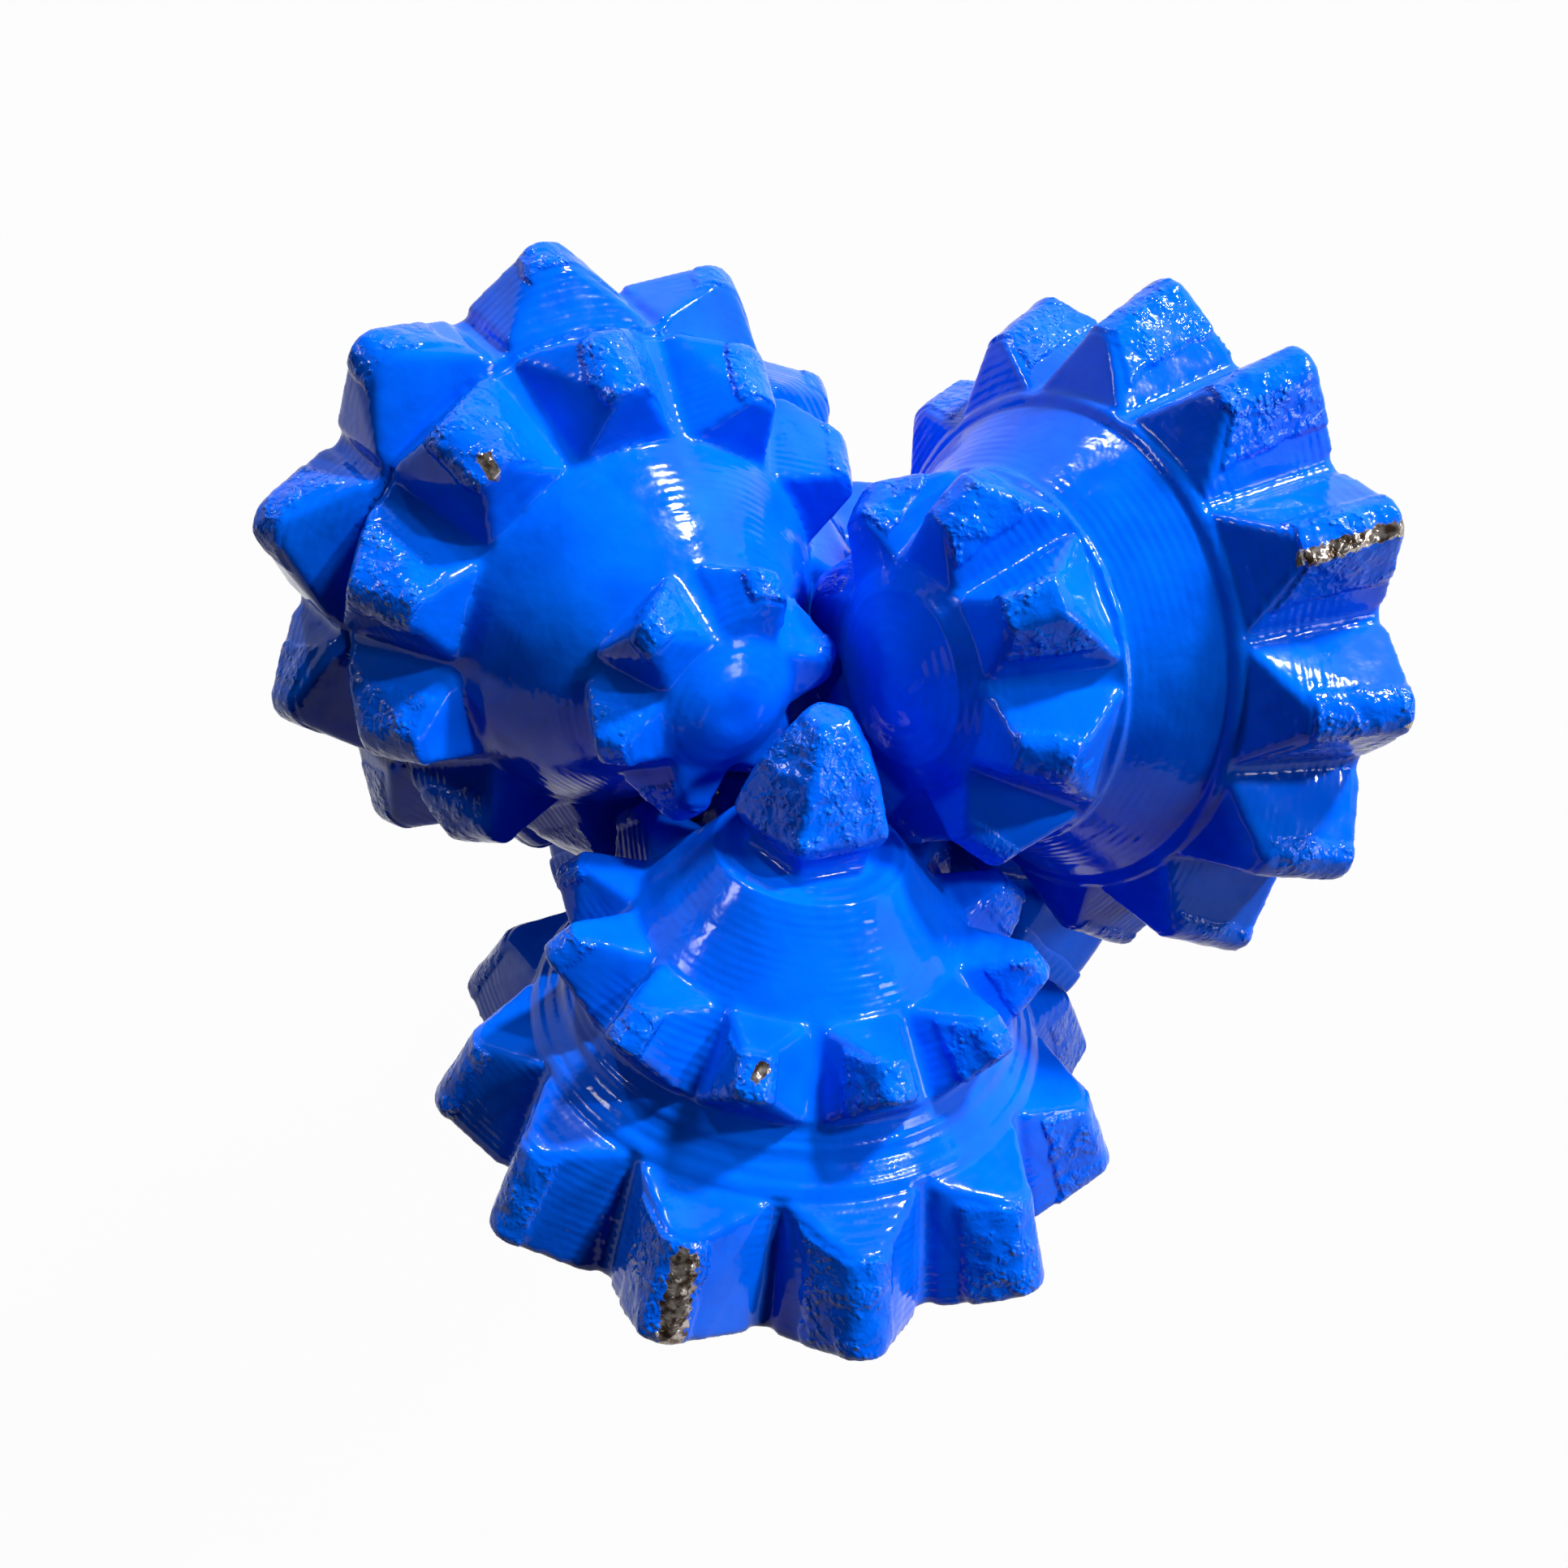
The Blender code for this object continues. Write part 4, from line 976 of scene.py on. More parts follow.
    def row_mask(self, row: ToothRow, points: np.ndarray) -> np.ndarray:
        """Finds the hardfaced crests and flanks of one row: low on the flank that cuts, high on the other.

        Args:
            row: The row.
            points: Positions in the journal's frame.

        Returns:
            1 on hardfacing, 0 elsewhere, with a ragged edge between.
        """
        height, radius = points[:, 2], np.hypot(points[:, 0], points[:, 1])
        distance, angle = np.hypot(height, radius), np.arctan2(radius, height)
        root_end, crest_end = (row.root[1], self.shell_angle), (row.crest[1], row.tips[1])
        if row is self.heel:
            root_end = (self.on_gage_distance(self.heel_root_angle), self.heel_root_angle)
            crest_end = (self.on_gage_distance(self.gage_tip_angle), self.gage_tip_angle)
        root = np.interp(distance, (row.root[0], root_end[0]), (self.shell_angle, root_end[1]))
        crest = np.interp(distance, (row.crest[0], crest_end[0]), (row.tips[0], crest_end[1]))
        rise = (angle - root) / (crest - root)
        ragged = noise_at(points, 3 * MM, self.seed)
        inner_end = row.root[0] + (row.crest[0] - row.root[0]) * np.clip(rise, 0, 1)
        outer_end = root_end[0] + (crest_end[0] - root_end[0]) * np.clip(rise, 0, 1)
        pitch = 2 * math.pi / row.count
        turn = np.arctan2(points[:, 1], points[:, 0]) - row.phase
        side = np.mod(turn + pitch / 2, pitch) - pitch / 2
        start = np.where(side > 0, self.pad_start, self.far_pad_start)
        past_inner = distance - inner_end + self.pad_ragged * ragged
        within = smoothstep(self.pad_margin, self.pad_fade, past_inner)
        within *= 1 - smoothstep(self.pad_ragged, self.pad_fade, distance - outer_end)
        return within * smoothstep(-self.rise_fade, self.rise_fade, rise - start + self.rise_ragged * ragged)

    def on_gage_distance(self, angle: float) -> float:
        """Gives how far the gage surface's point at this angle lies from the journal's origin."""
        return self.cut_radius / math.cos(angle - JOURNALS.angle)

    def hardfacing_mask(self, points: np.ndarray) -> np.ndarray:
        """Gives 1 where the cone is hardfaced and 0 elsewhere."""
        mask = np.zeros(len(points))
        for row in (*self.rows, self.heel):
            mask = np.maximum(mask, self.row_mask(row, points))
        if self.spear:
            neck = self.spear.neck[0]
            mask = np.maximum(mask, 1 - smoothstep(neck - 3 * MM, neck - 2 * MM, points[:, 2]))
        return mask

    def roughened(self, skin: bpy.types.Mesh) -> None:
        """Lays pads of hardfacing on the teeth and a hand's unevenness on the rest."""
        points, normals = points_of(skin), points_of(skin, "normal")
        mask = self.hardfacing_mask(points)
        lumps = (0.6 * noise_at(points, 3.0 * MM, self.seed + 3)
                 + 0.4 * noise_at(points, 1.6 * MM, self.seed + 5))
        slow = noise_at(points, 9 * MM, self.seed + 7)
        padding = self.pad + self.pad_lumps * lumps + self.pad_waves * slow
        lift = mask * padding + (1 - mask) * self.shell_waves * slow
        distance = np.linalg.norm(points, axis=1)
        angle = np.arctan2(np.hypot(points[:, 0], points[:, 1]), points[:, 2])
        off_shell = np.abs(distance * np.sin(angle - self.shell_angle))
        on_shell = 1 - smoothstep(self.relief_reach, self.relief_end, off_shell)
        places, lifts = np.array(self.relief).T
        lift += on_shell * (1 - mask) * np.interp(distance, places, lifts)
        move_points(skin, points + normals * lift[:, None])

    def bore(self) -> bpy.types.Mesh:
        """Turns the cutter for the bearing's bore, from past the back face to the closed end."""
        outline = [(0, 98), (33.26, 98), (33.26, 70.65), (24.77, 70.65), (24.77, 64.28), (28.8, 62.9),
                   (30.57, 58.0), (28.8, 53.1), (24.77, 51.72), (24.77, 48.7), (17.3, 48.7),
                   (17.3, 37.4), (0, 37.4)]
        return turned(in_mm(outline), 64)

    def wear_at(self, points: np.ndarray) -> np.ndarray:
        """Gives the wear at each point, from its distance to the worn edges."""
        wear = np.zeros(len(points))
        for edge in self.worn:
            wear = np.maximum(wear, edge.wear(points))
        return wear

    def build(self, box: Box) -> None:
        """Builds the cone, keeps it in the frame's box and places it on its body."""
        skin = self.melted()
        self.roughened(skin)
        skin = carved(skin, [(Operation.CUT, self.bore())])
        points = points_of(skin)
        height, radius = points[:, 2], np.hypot(points[:, 0], points[:, 1])
        inside = ((radius < self.bore_zone) & (height > self.bore_zone_start)
                  & (radius < height * self.bore_zone_slope))
        mask = np.where(inside, 0, self.hardfacing_mask(points))
        store(skin, Mask.HARDFACING, mask)
        store(skin, Mask.WEAR, np.where(inside, 0, self.wear_at(points)))
        store(skin, Mask.ALONG, np.hypot(height, radius))
        skin.transform(JOURNALS.matrix(LEG_AZIMUTHS[self.number - 1]))
        keep_in_box(skin, box)
        place_piece(f"toothed_cone_{self.number}", skin, f"cone_{self.number}", "blue_paint",
                    CONE_PAINT, f"cone_{self.number}")


def heel_row(count: int, phase: float, start: float, crest: float, crest_angle: float) -> ToothRow:
    """Makes a cone's heel row, whose outer ends are set by the gage surface."""
    return ToothRow(count, math.radians(phase), (start, 0), (crest, 0), (math.radians(crest_angle), 0),
                    3.4 * MM, 0.88)


def inner_row(count: int, phase: float, root: tuple[float, float], crest: tuple[float, float],
              tips: tuple[float, float], width: float, share: float) -> ToothRow:
    """Makes an inner row from sizes in millimetres and degrees."""
    return ToothRow(count, math.radians(phase), (root[0] * MM, root[1] * MM), (crest[0] * MM, crest[1] * MM),
                    (math.radians(tips[0]), math.radians(tips[1])), width * MM, share)


def in_mm(points: Outline) -> Outline:
    """Reads pairs of millimetres as metres."""
    return [(first * MM, second * MM) for first, second in points]


def worn_edge(start: Place, end: Place, reach: float) -> WornEdge:
    """Makes a worn edge from heights, radii and a reach in millimetres and turns in degrees."""
    return WornEdge((start[0] * MM, start[1] * MM, start[2]), (end[0] * MM, end[1] * MM, end[2]), reach * MM)


def all_cones() -> list[Cone]:
    """Describes the three cones of the bit."""
    return [
        Cone(1, in_mm([(24, 0), (24, 11), (24.6, 13)]),
             [inner_row(12, -1, (52.1, 68.3), (57.2, 65.0), (49.0, 48.9), 3.0, 0.84)],
             heel_row(12, 5, 82.0 * MM, 90.2 * MM, 43.0),
             in_mm([(30, -0.7), (40, -0.6), (46, -0.2), (51, 0), (68.3, 0), (69.8, -0.8), (72.4, -1.0),
                    (73.0, -0.7), (74.0, -0.7), (74.6, -1.0), (76.4, -0.9), (77.0, -0.5), (78.6, -0.3),
                    (79.6, 0.3), (80.4, 0.5), (81.2, 0.5), (82.2, 0.1)]),
             [worn_edge((69, 64.0, 3.5), (86, 71.0, 3.5), 3.4),
              worn_edge((39, 45.6, -3), (40.5, 47.0, -2), 1.6)],
             Spear(), seed=11),
        Cone(2, in_mm([(23.0, 0), (23.2, 4), (23.7, 8.5), (24.4, 12), (25.0, 15.2), (25.2, 17.4),
                       (26.0, 18.4)]),
             [inner_row(8, 0, (35.6, 57.6), (40.4, 51.0), (49.6, 49.0), 3.6, 0.84)],
             heel_row(13, 4, 80.0 * MM, 90.2 * MM, 43.0),
             in_mm([(35.2, 0.1), (57.6, 0), (60.0, 0.3), (60.8, -0.5), (66, -0.7), (72, -0.8), (77.4, -0.6),
                    (78.6, 0.2), (79.2, 0.4), (79.8, 0.4), (80.6, 0.0)]),
             [worn_edge((66.5, 62.6, 6), (83, 70.6, 5), 2.2), worn_edge((82, 69.6, 33), (84, 70.4, 33), 1.6)],
             None, seed=23),
        Cone(3, in_mm([(14, 0), (14, 4.2), (14.6, 7.4), (16.2, 11.2)]),
             [inner_row(6, 2, (23.5, 36.9), (27.1, 33.0), (52.0, 51.6), 2.8, 0.80),
              inner_row(11, 3.5, (65.7, 88.5), (69.2, 83.2), (48.0, 45.4), 3.4, 0.84)],
             heel_row(11, 4.5, 90.5 * MM, 100.6 * MM, 41.5),
             in_mm([(23.5, 0), (36.9, 0.1), (44, 0.7), (52, 0.9), (60, 0.7), (65.7, 0), (87.6, 0),
                    (88.4, -0.9), (89.6, -0.9), (90.4, 0)]),
             [worn_edge((46.5, 52.2, 3), (49.0, 54.6, 4), 2.0)], None, seed=37),
    ]


# Legs


@dataclass
class Leg:
    """One forged leg: a third of the shank and body, the arm and its journal.

    Attributes:
        number: Which leg it is.
        voxel: Size of the faces of its forged skin.
        forge_waves: Height of the forging's long waves.
        forge_dents: Height of its small dents.
        machined_share: What part of both is left on the machined shank.
        rim_width: Width of the hardfaced rim of the shirttail.
        rim_edge: Width over which it fades.
        rim_depth: How far it reaches round the edge.
    """

    number: int
    voxel: float = 1.7 * MM
    pin_length: float = PIN_LENGTH
    shoulder_radius: float = 67.65 * MM
    shank_radius: float = 75 * MM
    shank_top: float = 154.95 * MM
    body_radius: float = 80 * MM
    body_flare: float = 10 * MM
    body_shoulder: float = 178 * MM
    dome_height: float = 195 * MM
    dome_radius: float = 60 * MM
    bore_radius: float = BORE_RADIUS
    plenum_height: float = 150 * MM
    plenum_peak: float = 8 * MM
    arm_radius: float = 106.2 * MM
    waist_radius: float = 105 * MM
    arm_top: float = 285 * MM
    waist_top: float = 226 * MM
    waist_bottom: float = 190 * MM
    waist_step: float = 2 * MM
    root_height: float = 152 * MM
    root_radius: float = 78 * MM
    inner_reach: float = 40 * MM
    shirttail_radius: float = 49.5 * MM
    half_width: float = 52 * MM
    foot_half_width: float = 56 * MM
    spread_height: float = 200 * MM
    room_radius: float = 72.5 * MM
    back_gap: float = 0.5 * MM
    back_face: float = BACK_FACE
    flat_half: float = 27 * MM
    flat_length: float = 28 * MM
    flat_rise: float = 9.5 * MM
    nozzle_azimuth: float = math.radians(42)
    nozzle_circle: float = 61 * MM
    boss_radius: float = 18 * MM
    boss_top: float = 190 * MM
    pocket_floor: float = 160 * MM
    pocket_end: float = 200 * MM
    pocket_radius: float = 12.2 * MM
    throat_floor: float = 150 * MM
    throat_radius: float = 9 * MM
    inlet_height: float = 130 * MM
    inlet_circle: float = 18 * MM
    reservoir_height: float = 208 * MM
    reservoir_radius: float = 14.5 * MM
    reservoir_depth: float = 26 * MM
    ball_hole_radius: float = 6.1 * MM
    ball_hole_angle: float = math.radians(33)
    ball_centre: float = BALL_CENTRE
    ball_pitch: float = BALL_PITCH
    forge_waves: float = 0.10 * MM
    forge_dents: float = 0.05 * MM
    machined_share: float = 0.02
    rim_width: float = 9 * MM
    rim_edge: float = 3 * MM
    rim_depth: float = 4 * MM
    segments: int = 120

    @property
    def azimuth(self) -> float:
        """Direction of the leg."""
        return LEG_AZIMUTHS[self.number - 1]

    @property
    def nozzle_foot(self) -> Vector:
        """Place of the nozzle's axis, in the leg's frame."""
        return Vector((self.nozzle_circle * math.cos(self.nozzle_azimuth),
                       self.nozzle_circle * math.sin(self.nozzle_azimuth), 0))

    def body(self) -> bpy.types.Mesh:
        """Turns the shank and body above the make-up shoulder."""
        chamfer = self.shank_radius - self.shoulder_radius
        return turned([
            (0, self.dome_height), (self.dome_radius, self.dome_height),
            (self.body_radius, self.body_shoulder), (self.body_radius, self.shank_top + self.body_flare),
            (self.shank_radius, self.shank_top),
            (self.shank_radius, self.pin_length + chamfer), (self.shoulder_radius, self.pin_length),
            (self.bore_radius, self.pin_length), (self.bore_radius, self.plenum_height),
            (0, self.plenum_height + self.plenum_peak),
        ], self.segments)

    def arm(self) -> bpy.types.Mesh:
        """Crops the turned form of the arm to its outline with the round shirttail."""
        form = turned([
            (0, self.arm_top), (self.arm_radius, self.arm_top), (self.arm_radius, self.waist_top),
            (self.waist_radius, self.waist_top - self.waist_step), (self.waist_radius, self.waist_bottom),
            (self.root_radius, self.root_height), (0, self.root_height),
        ], self.segments)
        middle = JOURNALS.apex - (self.back_face + self.back_gap) * math.sin(JOURNALS.angle)
        points = []
        for turn in np.linspace(0, math.pi, 25):
            points.append((JOURNALS.offset + self.shirttail_radius * math.cos(turn),
                           middle + self.shirttail_radius * math.cos(JOURNALS.angle) * math.sin(turn)))
        bottom = self.root_height - OVERRUN
        foot, side = self.foot_half_width, self.half_width
        points += [(JOURNALS.offset - side, self.spread_height), (-foot, self.root_height), (-foot, bottom),
                   (foot, bottom), (foot, self.root_height), (JOURNALS.offset + side, self.spread_height)]
        upright = Matrix(((0, 0, 1, 0), (1, 0, 0, 0), (0, 1, 0, 0), (0, 0, 0, 1)))
        tongue = prism(points, self.inner_reach, self.arm_radius + 2 * OVERRUN, upright)
        return carved(form, [(Operation.KEEP, tongue)])

    def room(self, number: int) -> bpy.types.Mesh:
        """Turns the room that one of the cones needs, in this leg's frame."""
        back = self.back_face + self.back_gap
        mesh = turned([(0, back), (self.room_radius, back), (self.room_radius, -self.room_radius),
                       (0, -self.room_radius)], self.segments)
        mesh.transform(JOURNALS.matrix(LEG_AZIMUTHS[number - 1] - self.azimuth))
        return mesh

    def forged(self) -> bpy.types.Mesh:
        """Joins and cuts the rough forging, and softens its edges."""
        third = math.pi / 3
        reach = self.arm_radius + OVERRUN
        corner = [(0, 0), (reach, -reach * math.tan(third)), (reach, reach * math.tan(third))]
        shift = Matrix.Translation((FIT_GAP / 2 / math.sin(third), 0, 0))
        sector = prism(corner, self.pin_length - OVERRUN, JOURNALS.apex, shift)
        foot = self.nozzle_foot
        boss = rod(foot + UP * self.pocket_floor, foot + UP * self.boss_top, self.boss_radius)
        steps = [(Operation.KEEP, sector), (Operation.JOIN, self.arm()), (Operation.JOIN, boss)]
        steps += [(Operation.CUT, self.room(number)) for number in (1, 2, 3)]
        rough = remeshed(carved(self.body(), steps), self.voxel)
        relax(rough, 3)
        points, normals = points_of(rough), points_of(rough, "normal")
        hammered = (self.forge_waves * noise_at(points, 16 * MM, self.number)
                    + self.forge_dents * noise_at(points, 5 * MM, self.number + 4))
        machined = points[:, 2] < self.shank_top
        lift = np.where(machined, self.machined_share, 1.0) * hammered
        move_points(rough, points + normals * lift[:, None])
        return rough

    def journal(self) -> bpy.types.Mesh:
        """Turns the journal with its ball race, in the leg's frame."""
        outline = in_mm([(0, 41), (12.4, 41), (13, 41.6), (13, 51.3), (23.0, 51.3), (23.33, 51.8),
                         (19.5, 54.0), (18.0, 58.0), (19.5, 62.0), (23.33, 64.2), (23.33, 87.2),
                         (26.5, 87.2), (26.5, 98.5), (0, 98.5)])
        mesh = turned(list(reversed(outline)), 64)
        mesh.transform(JOURNALS.matrix(0))
        return mesh

    def ball_hole_ends(self) -> tuple[Vector, Vector]:
        """Gives the start of the ball hole in the race and its end at the leg's outside."""
        slope = math.tan(self.ball_hole_angle)
        rise = math.cos(JOURNALS.angle) + slope * math.sin(JOURNALS.angle)
        base = (self.ball_pitch + self.ball_centre * slope) * math.sin(JOURNALS.angle)
        reach = (self.arm_radius + base) / rise
        radius = -self.ball_pitch + (reach - self.ball_centre) * slope
        start = JOURNALS.in_leg_frame(self.ball_centre, -self.ball_pitch)
        return start, JOURNALS.in_leg_frame(reach, radius)

    def machined(self, rough: bpy.types.Mesh) -> bpy.types.Mesh:
        """Adds the journal and cuts the pockets, holes and the breaker flat."""
        foot = self.nozzle_foot
        race, outside = self.ball_hole_ends()
        along = (outside - race).normalized()
        floor = Vector((self.waist_radius - self.reservoir_depth, JOURNALS.offset, self.reservoir_height))
        mouth = Vector((self.arm_radius + 2 * OVERRUN, JOURNALS.offset, self.reservoir_height))
        flat_reach = math.sqrt(self.shank_radius ** 2 - self.flat_half ** 2)
        low = self.pin_length + self.flat_rise
        side, out = self.flat_half + OVERRUN, self.shank_radius + OVERRUN
        flat = [(flat_reach, -side), (out, -side), (out, side), (flat_reach, side)]
        inlet = foot * (self.inlet_circle / self.nozzle_circle)
        steps = [
            (Operation.JOIN, self.journal()),
            (Operation.CUT, rod(race, outside + along * 3 * OVERRUN, self.ball_hole_radius)),
            (Operation.CUT, rod(floor, mouth, self.reservoir_radius, 64)),
            (Operation.CUT, rod(foot + UP * self.throat_floor, foot + UP * (self.pocket_floor + OVERRUN),
                                self.throat_radius)),
            (Operation.CUT, rod(foot + UP * self.pocket_floor, foot + UP * self.pocket_end,
                                self.pocket_radius, 64)),
            (Operation.CUT, rod(inlet + UP * self.inlet_height, foot + UP * (self.throat_floor + OVERRUN),
                                self.throat_radius)),
            (Operation.CUT, prism(flat, low, low + self.flat_length, Matrix())),
        ]
        return carved(rough, steps)

    def build(self) -> None:
        """Builds the leg and places it on the body of the legs."""
        skin = self.machined(self.forged())
        points = points_of(skin)
        radius = np.hypot(points[:, 0], points[:, 1])
        ragged = 1.5 * MM * noise_at(points, 6 * MM, 40 + self.number)
        middle = JOURNALS.apex - self.back_face * math.sin(JOURNALS.angle)
        from_middle = np.hypot(points[:, 1] - JOURNALS.offset,
                               (points[:, 2] - middle) / math.cos(JOURNALS.angle))
        inner = self.shirttail_radius - self.rim_width
        rim = smoothstep(inner, inner + self.rim_edge, from_middle + ragged)
        outside = (radius > self.arm_radius - self.rim_depth) & (points[:, 2] > middle - self.rim_depth)
        shirttail = rim * outside
        store(skin, Mask.HARDFACING, shirttail)
        store(skin, Mask.WEAR, np.zeros(len(points)))
        store(skin, Mask.ALONG, np.where(points[:, 2] < self.shank_top, points[:, 2] + radius, 0))
        skin.transform(Matrix.Rotation(self.azimuth, 4, "Z"))
        place_piece(f"forged_leg_{self.number}", skin, "legs", "blue_paint", PAINT, f"leg_{self.number}")


@dataclass
class ThreadedPin:
    """The tapered pin with its coarse thread.

    Attributes:
        pitch: Distance from thread to thread.
        depth: Height of the thread.
        crest_flat: Half the thread's crest, as a part of the pitch.
        flank: Width of a flank, as a part of the pitch.
        plain_start: Length of the end without thread.
        run_in: Length over which the thread starts.
        run_out: Length over which it ends.
    """

    length: float = PIN_LENGTH
    end_radius: float = 45.25 * MM
    base_radius: float = 59.53 * MM
    base_length: float = 12.7 * MM
    bore_radius: float = BORE_RADIUS
    chamfer: float = 1.5 * MM
    pitch: float = 5.08 * MM
    depth: float = 2.4 * MM
    crest_flat: float = 0.10
    flank: float = 0.28
    plain_start: float = 1 * MM
    run_in: float = 6 * MM
    run_out: float = 4 * MM
    segments: int = 96
    rows_a_turn: int = 10

    def taper(self, height: np.ndarray) -> np.ndarray:
        """Gives the plain pin's radius at each height."""
        top = self.length - self.base_length
        share = np.clip((height - self.chamfer) / (top - self.chamfer), 0, 1)
        return self.end_radius + (self.base_radius - self.end_radius) * share

    def groove(self, height: np.ndarray, turn: np.ndarray) -> np.ndarray:
        """Gives how far the thread's groove is cut in, from 0 to 1."""
        phase = np.mod(height / self.pitch - turn / (2 * math.pi), 1)
        cut = np.clip((np.abs(phase - 0.5) - self.crest_flat) / self.flank, 0, 1)
        run_in = np.clip((height - self.plain_start) / self.run_in, 0, 1)
        run_out = np.clip((self.length - self.base_length - height) / self.run_out, 0, 1)
        return cut * run_in * run_out

    def build(self) -> None:
        """Builds the pin and places it on the body of the legs."""
        count = int(self.length / self.pitch * self.rows_a_turn)
        turns = np.linspace(0, 2 * math.pi, self.segments, endpoint=False)
        work = bmesh.new()
        rings = []
        for height in np.linspace(0, self.length, count + 1):
            radius = self.taper(height) - self.depth * self.groove(height, turns)
            rings.append(ring_at(work, radius - max(self.chamfer - height, 0), height, self.segments))
        rings += [ring_at(work, self.bore_radius, height, self.segments) for height in (self.length, 0)]
        strips(work, rings + rings[:1])
        mesh = finished(work, "pin")
        store(mesh, Mask.ALONG, points_of(mesh)[:, 2])
        place_piece("threaded_pin", mesh, "legs", "cap_steel", THREAD_STEEL)


@dataclass
class SeamWeld:
    """The weld bead along the seam between two legs, over the shank and body.

    Attributes:
        azimuth: Where the seam lies.
        half_width: Half the bead's width.
        crown: Height of the bead above the steel.
        ripple: Distance from ripple to ripple.
        ripple_height: Height of a ripple.
        drag: How far a ripple's ends trail behind its middle.
        sink: How deep the bead goes into the steel.
        step: Distance between its sections.
    """

    number: int
    azimuth: float
    half_width: float = 3.6 * MM
    crown: float = 0.7 * MM
    ripple: float = 2.6 * MM
    ripple_height: float = 0.25 * MM
    drag: float = 1.2 * MM
    sink: float = 1.2 * MM
    step: float = 0.7 * MM

    def path(self) -> np.ndarray:
        """Gives (radius, height) points along the outside, evenly spaced."""
        corners = np.array([(69.0, 109.4), (75, 115.4), (75, 154.95), (80, 164.95), (80, 177.5),
                            (61, 194.4), (40, 195)]) * MM
        lengths = np.concatenate([[0], np.cumsum(np.linalg.norm(np.diff(corners, axis=0), axis=1))])
        places = np.arange(0, lengths[-1], self.step)
        return np.column_stack([np.interp(places, lengths, corners[:, column]) for column in (0, 1)])

    def build(self) -> None:
        """Sweeps the bead's section along its path and places it."""
        path = self.path()
        along = np.gradient(path, axis=0)
        along /= np.linalg.norm(along, axis=1)[:, None]
        out = np.column_stack([along[:, 1], -along[:, 0]])
        work = bmesh.new()
        rings = []
        sides = np.linspace(0, 2 * math.pi, 16, endpoint=False)
        for index, (place, normal) in enumerate(zip(path, out)):
            far = index * self.step
            wobble = 0.12 * math.sin(far / (5.3 * MM)) + 0.08 * math.sin(far / (2.1 * MM) + self.number)
            ring = []
            for side in sides:
                across = self.half_width * (1 + wobble) * math.cos(side)
                drag = self.drag * math.cos(side) ** 2
                wave = 0.5 + 0.5 * math.cos(2 * math.pi * (far + drag) / self.ripple)
                rise = math.sin(side)
                lift = (self.crown + self.ripple_height * wave) * rise if rise > 0 else self.sink * rise
                spot = place + normal * lift
                ring.append(work.verts.new((spot[0], across, spot[1])))
            rings.append(ring)
        strips(work, rings)
        work.faces.new(rings[0])
        work.faces.new(rings[-1])
        bmesh.ops.transform(work, matrix=Matrix.Rotation(self.azimuth, 4, "Z"), verts=work.verts)
        mesh = finished(work, "seam")
        for mask, value in ((Mask.ALONG, 0.0), (Mask.WEAR, 0.0), (Mask.HARDFACING, 0.12)):
            store(mesh, mask, np.full(len(mesh.vertices), value))
        place_piece(f"seam_weld_{self.number}", mesh, "legs", "blue_paint", PAINT)


# Small parts


@dataclass
class TurnedPart:
    """A small turned part with its outline in millimetres.

    Attributes:
        name: Name of the piece, without its number.
        node: The CAD node that it stands for, without its number.
        outline: (radius, height) points, down the outside first.
        finish: Its finish.
        slot: Name of its material slot.
    """

    name: str
    node: str
    outline: Outline
    finish: Finish
    slot: str
    segments: int = 72

    def build(self, number: int, place: Matrix, body: str) -> None:
        """Turns the part and places it.

        Args:
            number: Which leg it belongs to.
            place: The matrix from the part's frame to the bit's.
            body: The body that it moves with.
        """
        mesh = turned(in_mm(self.outline), self.segments)
        points = points_of(mesh)
        store(mesh, Mask.ALONG, np.hypot(points[:, 0], points[:, 1]) + points[:, 2])
        mesh.transform(place)
        place_piece(f"{self.name}_{number}", mesh, body, self.slot, self.finish, f"{self.node}_{number}")


@dataclass
class SnapRing:
    """An open spring ring with an ear at each end.

    Attributes:
        name: Name of the piece, without its number.
        node: The CAD node that it stands for, without its number.
        inner: Inner radius.
        outer: Outer radius.
        low: Height of its lower face.
        thickness: Its thickness.
        gap: Half the angle of its opening.
        ear_angle: Angle that an ear takes up.
        ear_depth: How far an ear stands inwards.
    """

    name: str
    node: str
    inner: float
    outer: float
    low: float
    thickness: float = 1.8 * MM
    gap: float = math.radians(16)
    ear_angle: float = math.radians(15)
    ear_depth: float = 2.2 * MM
    steps: int = 64

    def build(self, number: int, place: Matrix, body: str) -> None:
        """Pushes the ring's outline up and places it, as TurnedPart.build does."""
        turns = np.linspace(self.gap, 2 * math.pi - self.gap, self.steps + 1)
        outline = [(self.outer * math.cos(turn), self.outer * math.sin(turn)) for turn in turns]
        for turn in turns[::-1]:
            near = min(turn - self.gap, 2 * math.pi - self.gap - turn)
            share = max(0.0, 1 - (near / self.ear_angle) ** 4) if near < self.ear_angle else 0.0
            radius = self.inner - self.ear_depth * share
            outline.append((radius * math.cos(turn), radius * math.sin(turn)))
        mesh = prism(outline, self.low, self.low + self.thickness, Matrix())
        points = points_of(mesh)
        store(mesh, Mask.ALONG, np.hypot(points[:, 0], points[:, 1]))
        mesh.transform(place)
        place_piece(f"{self.name}_{number}", mesh, body, "cap_steel", PLAIN_STEEL, f"{self.node}_{number}")


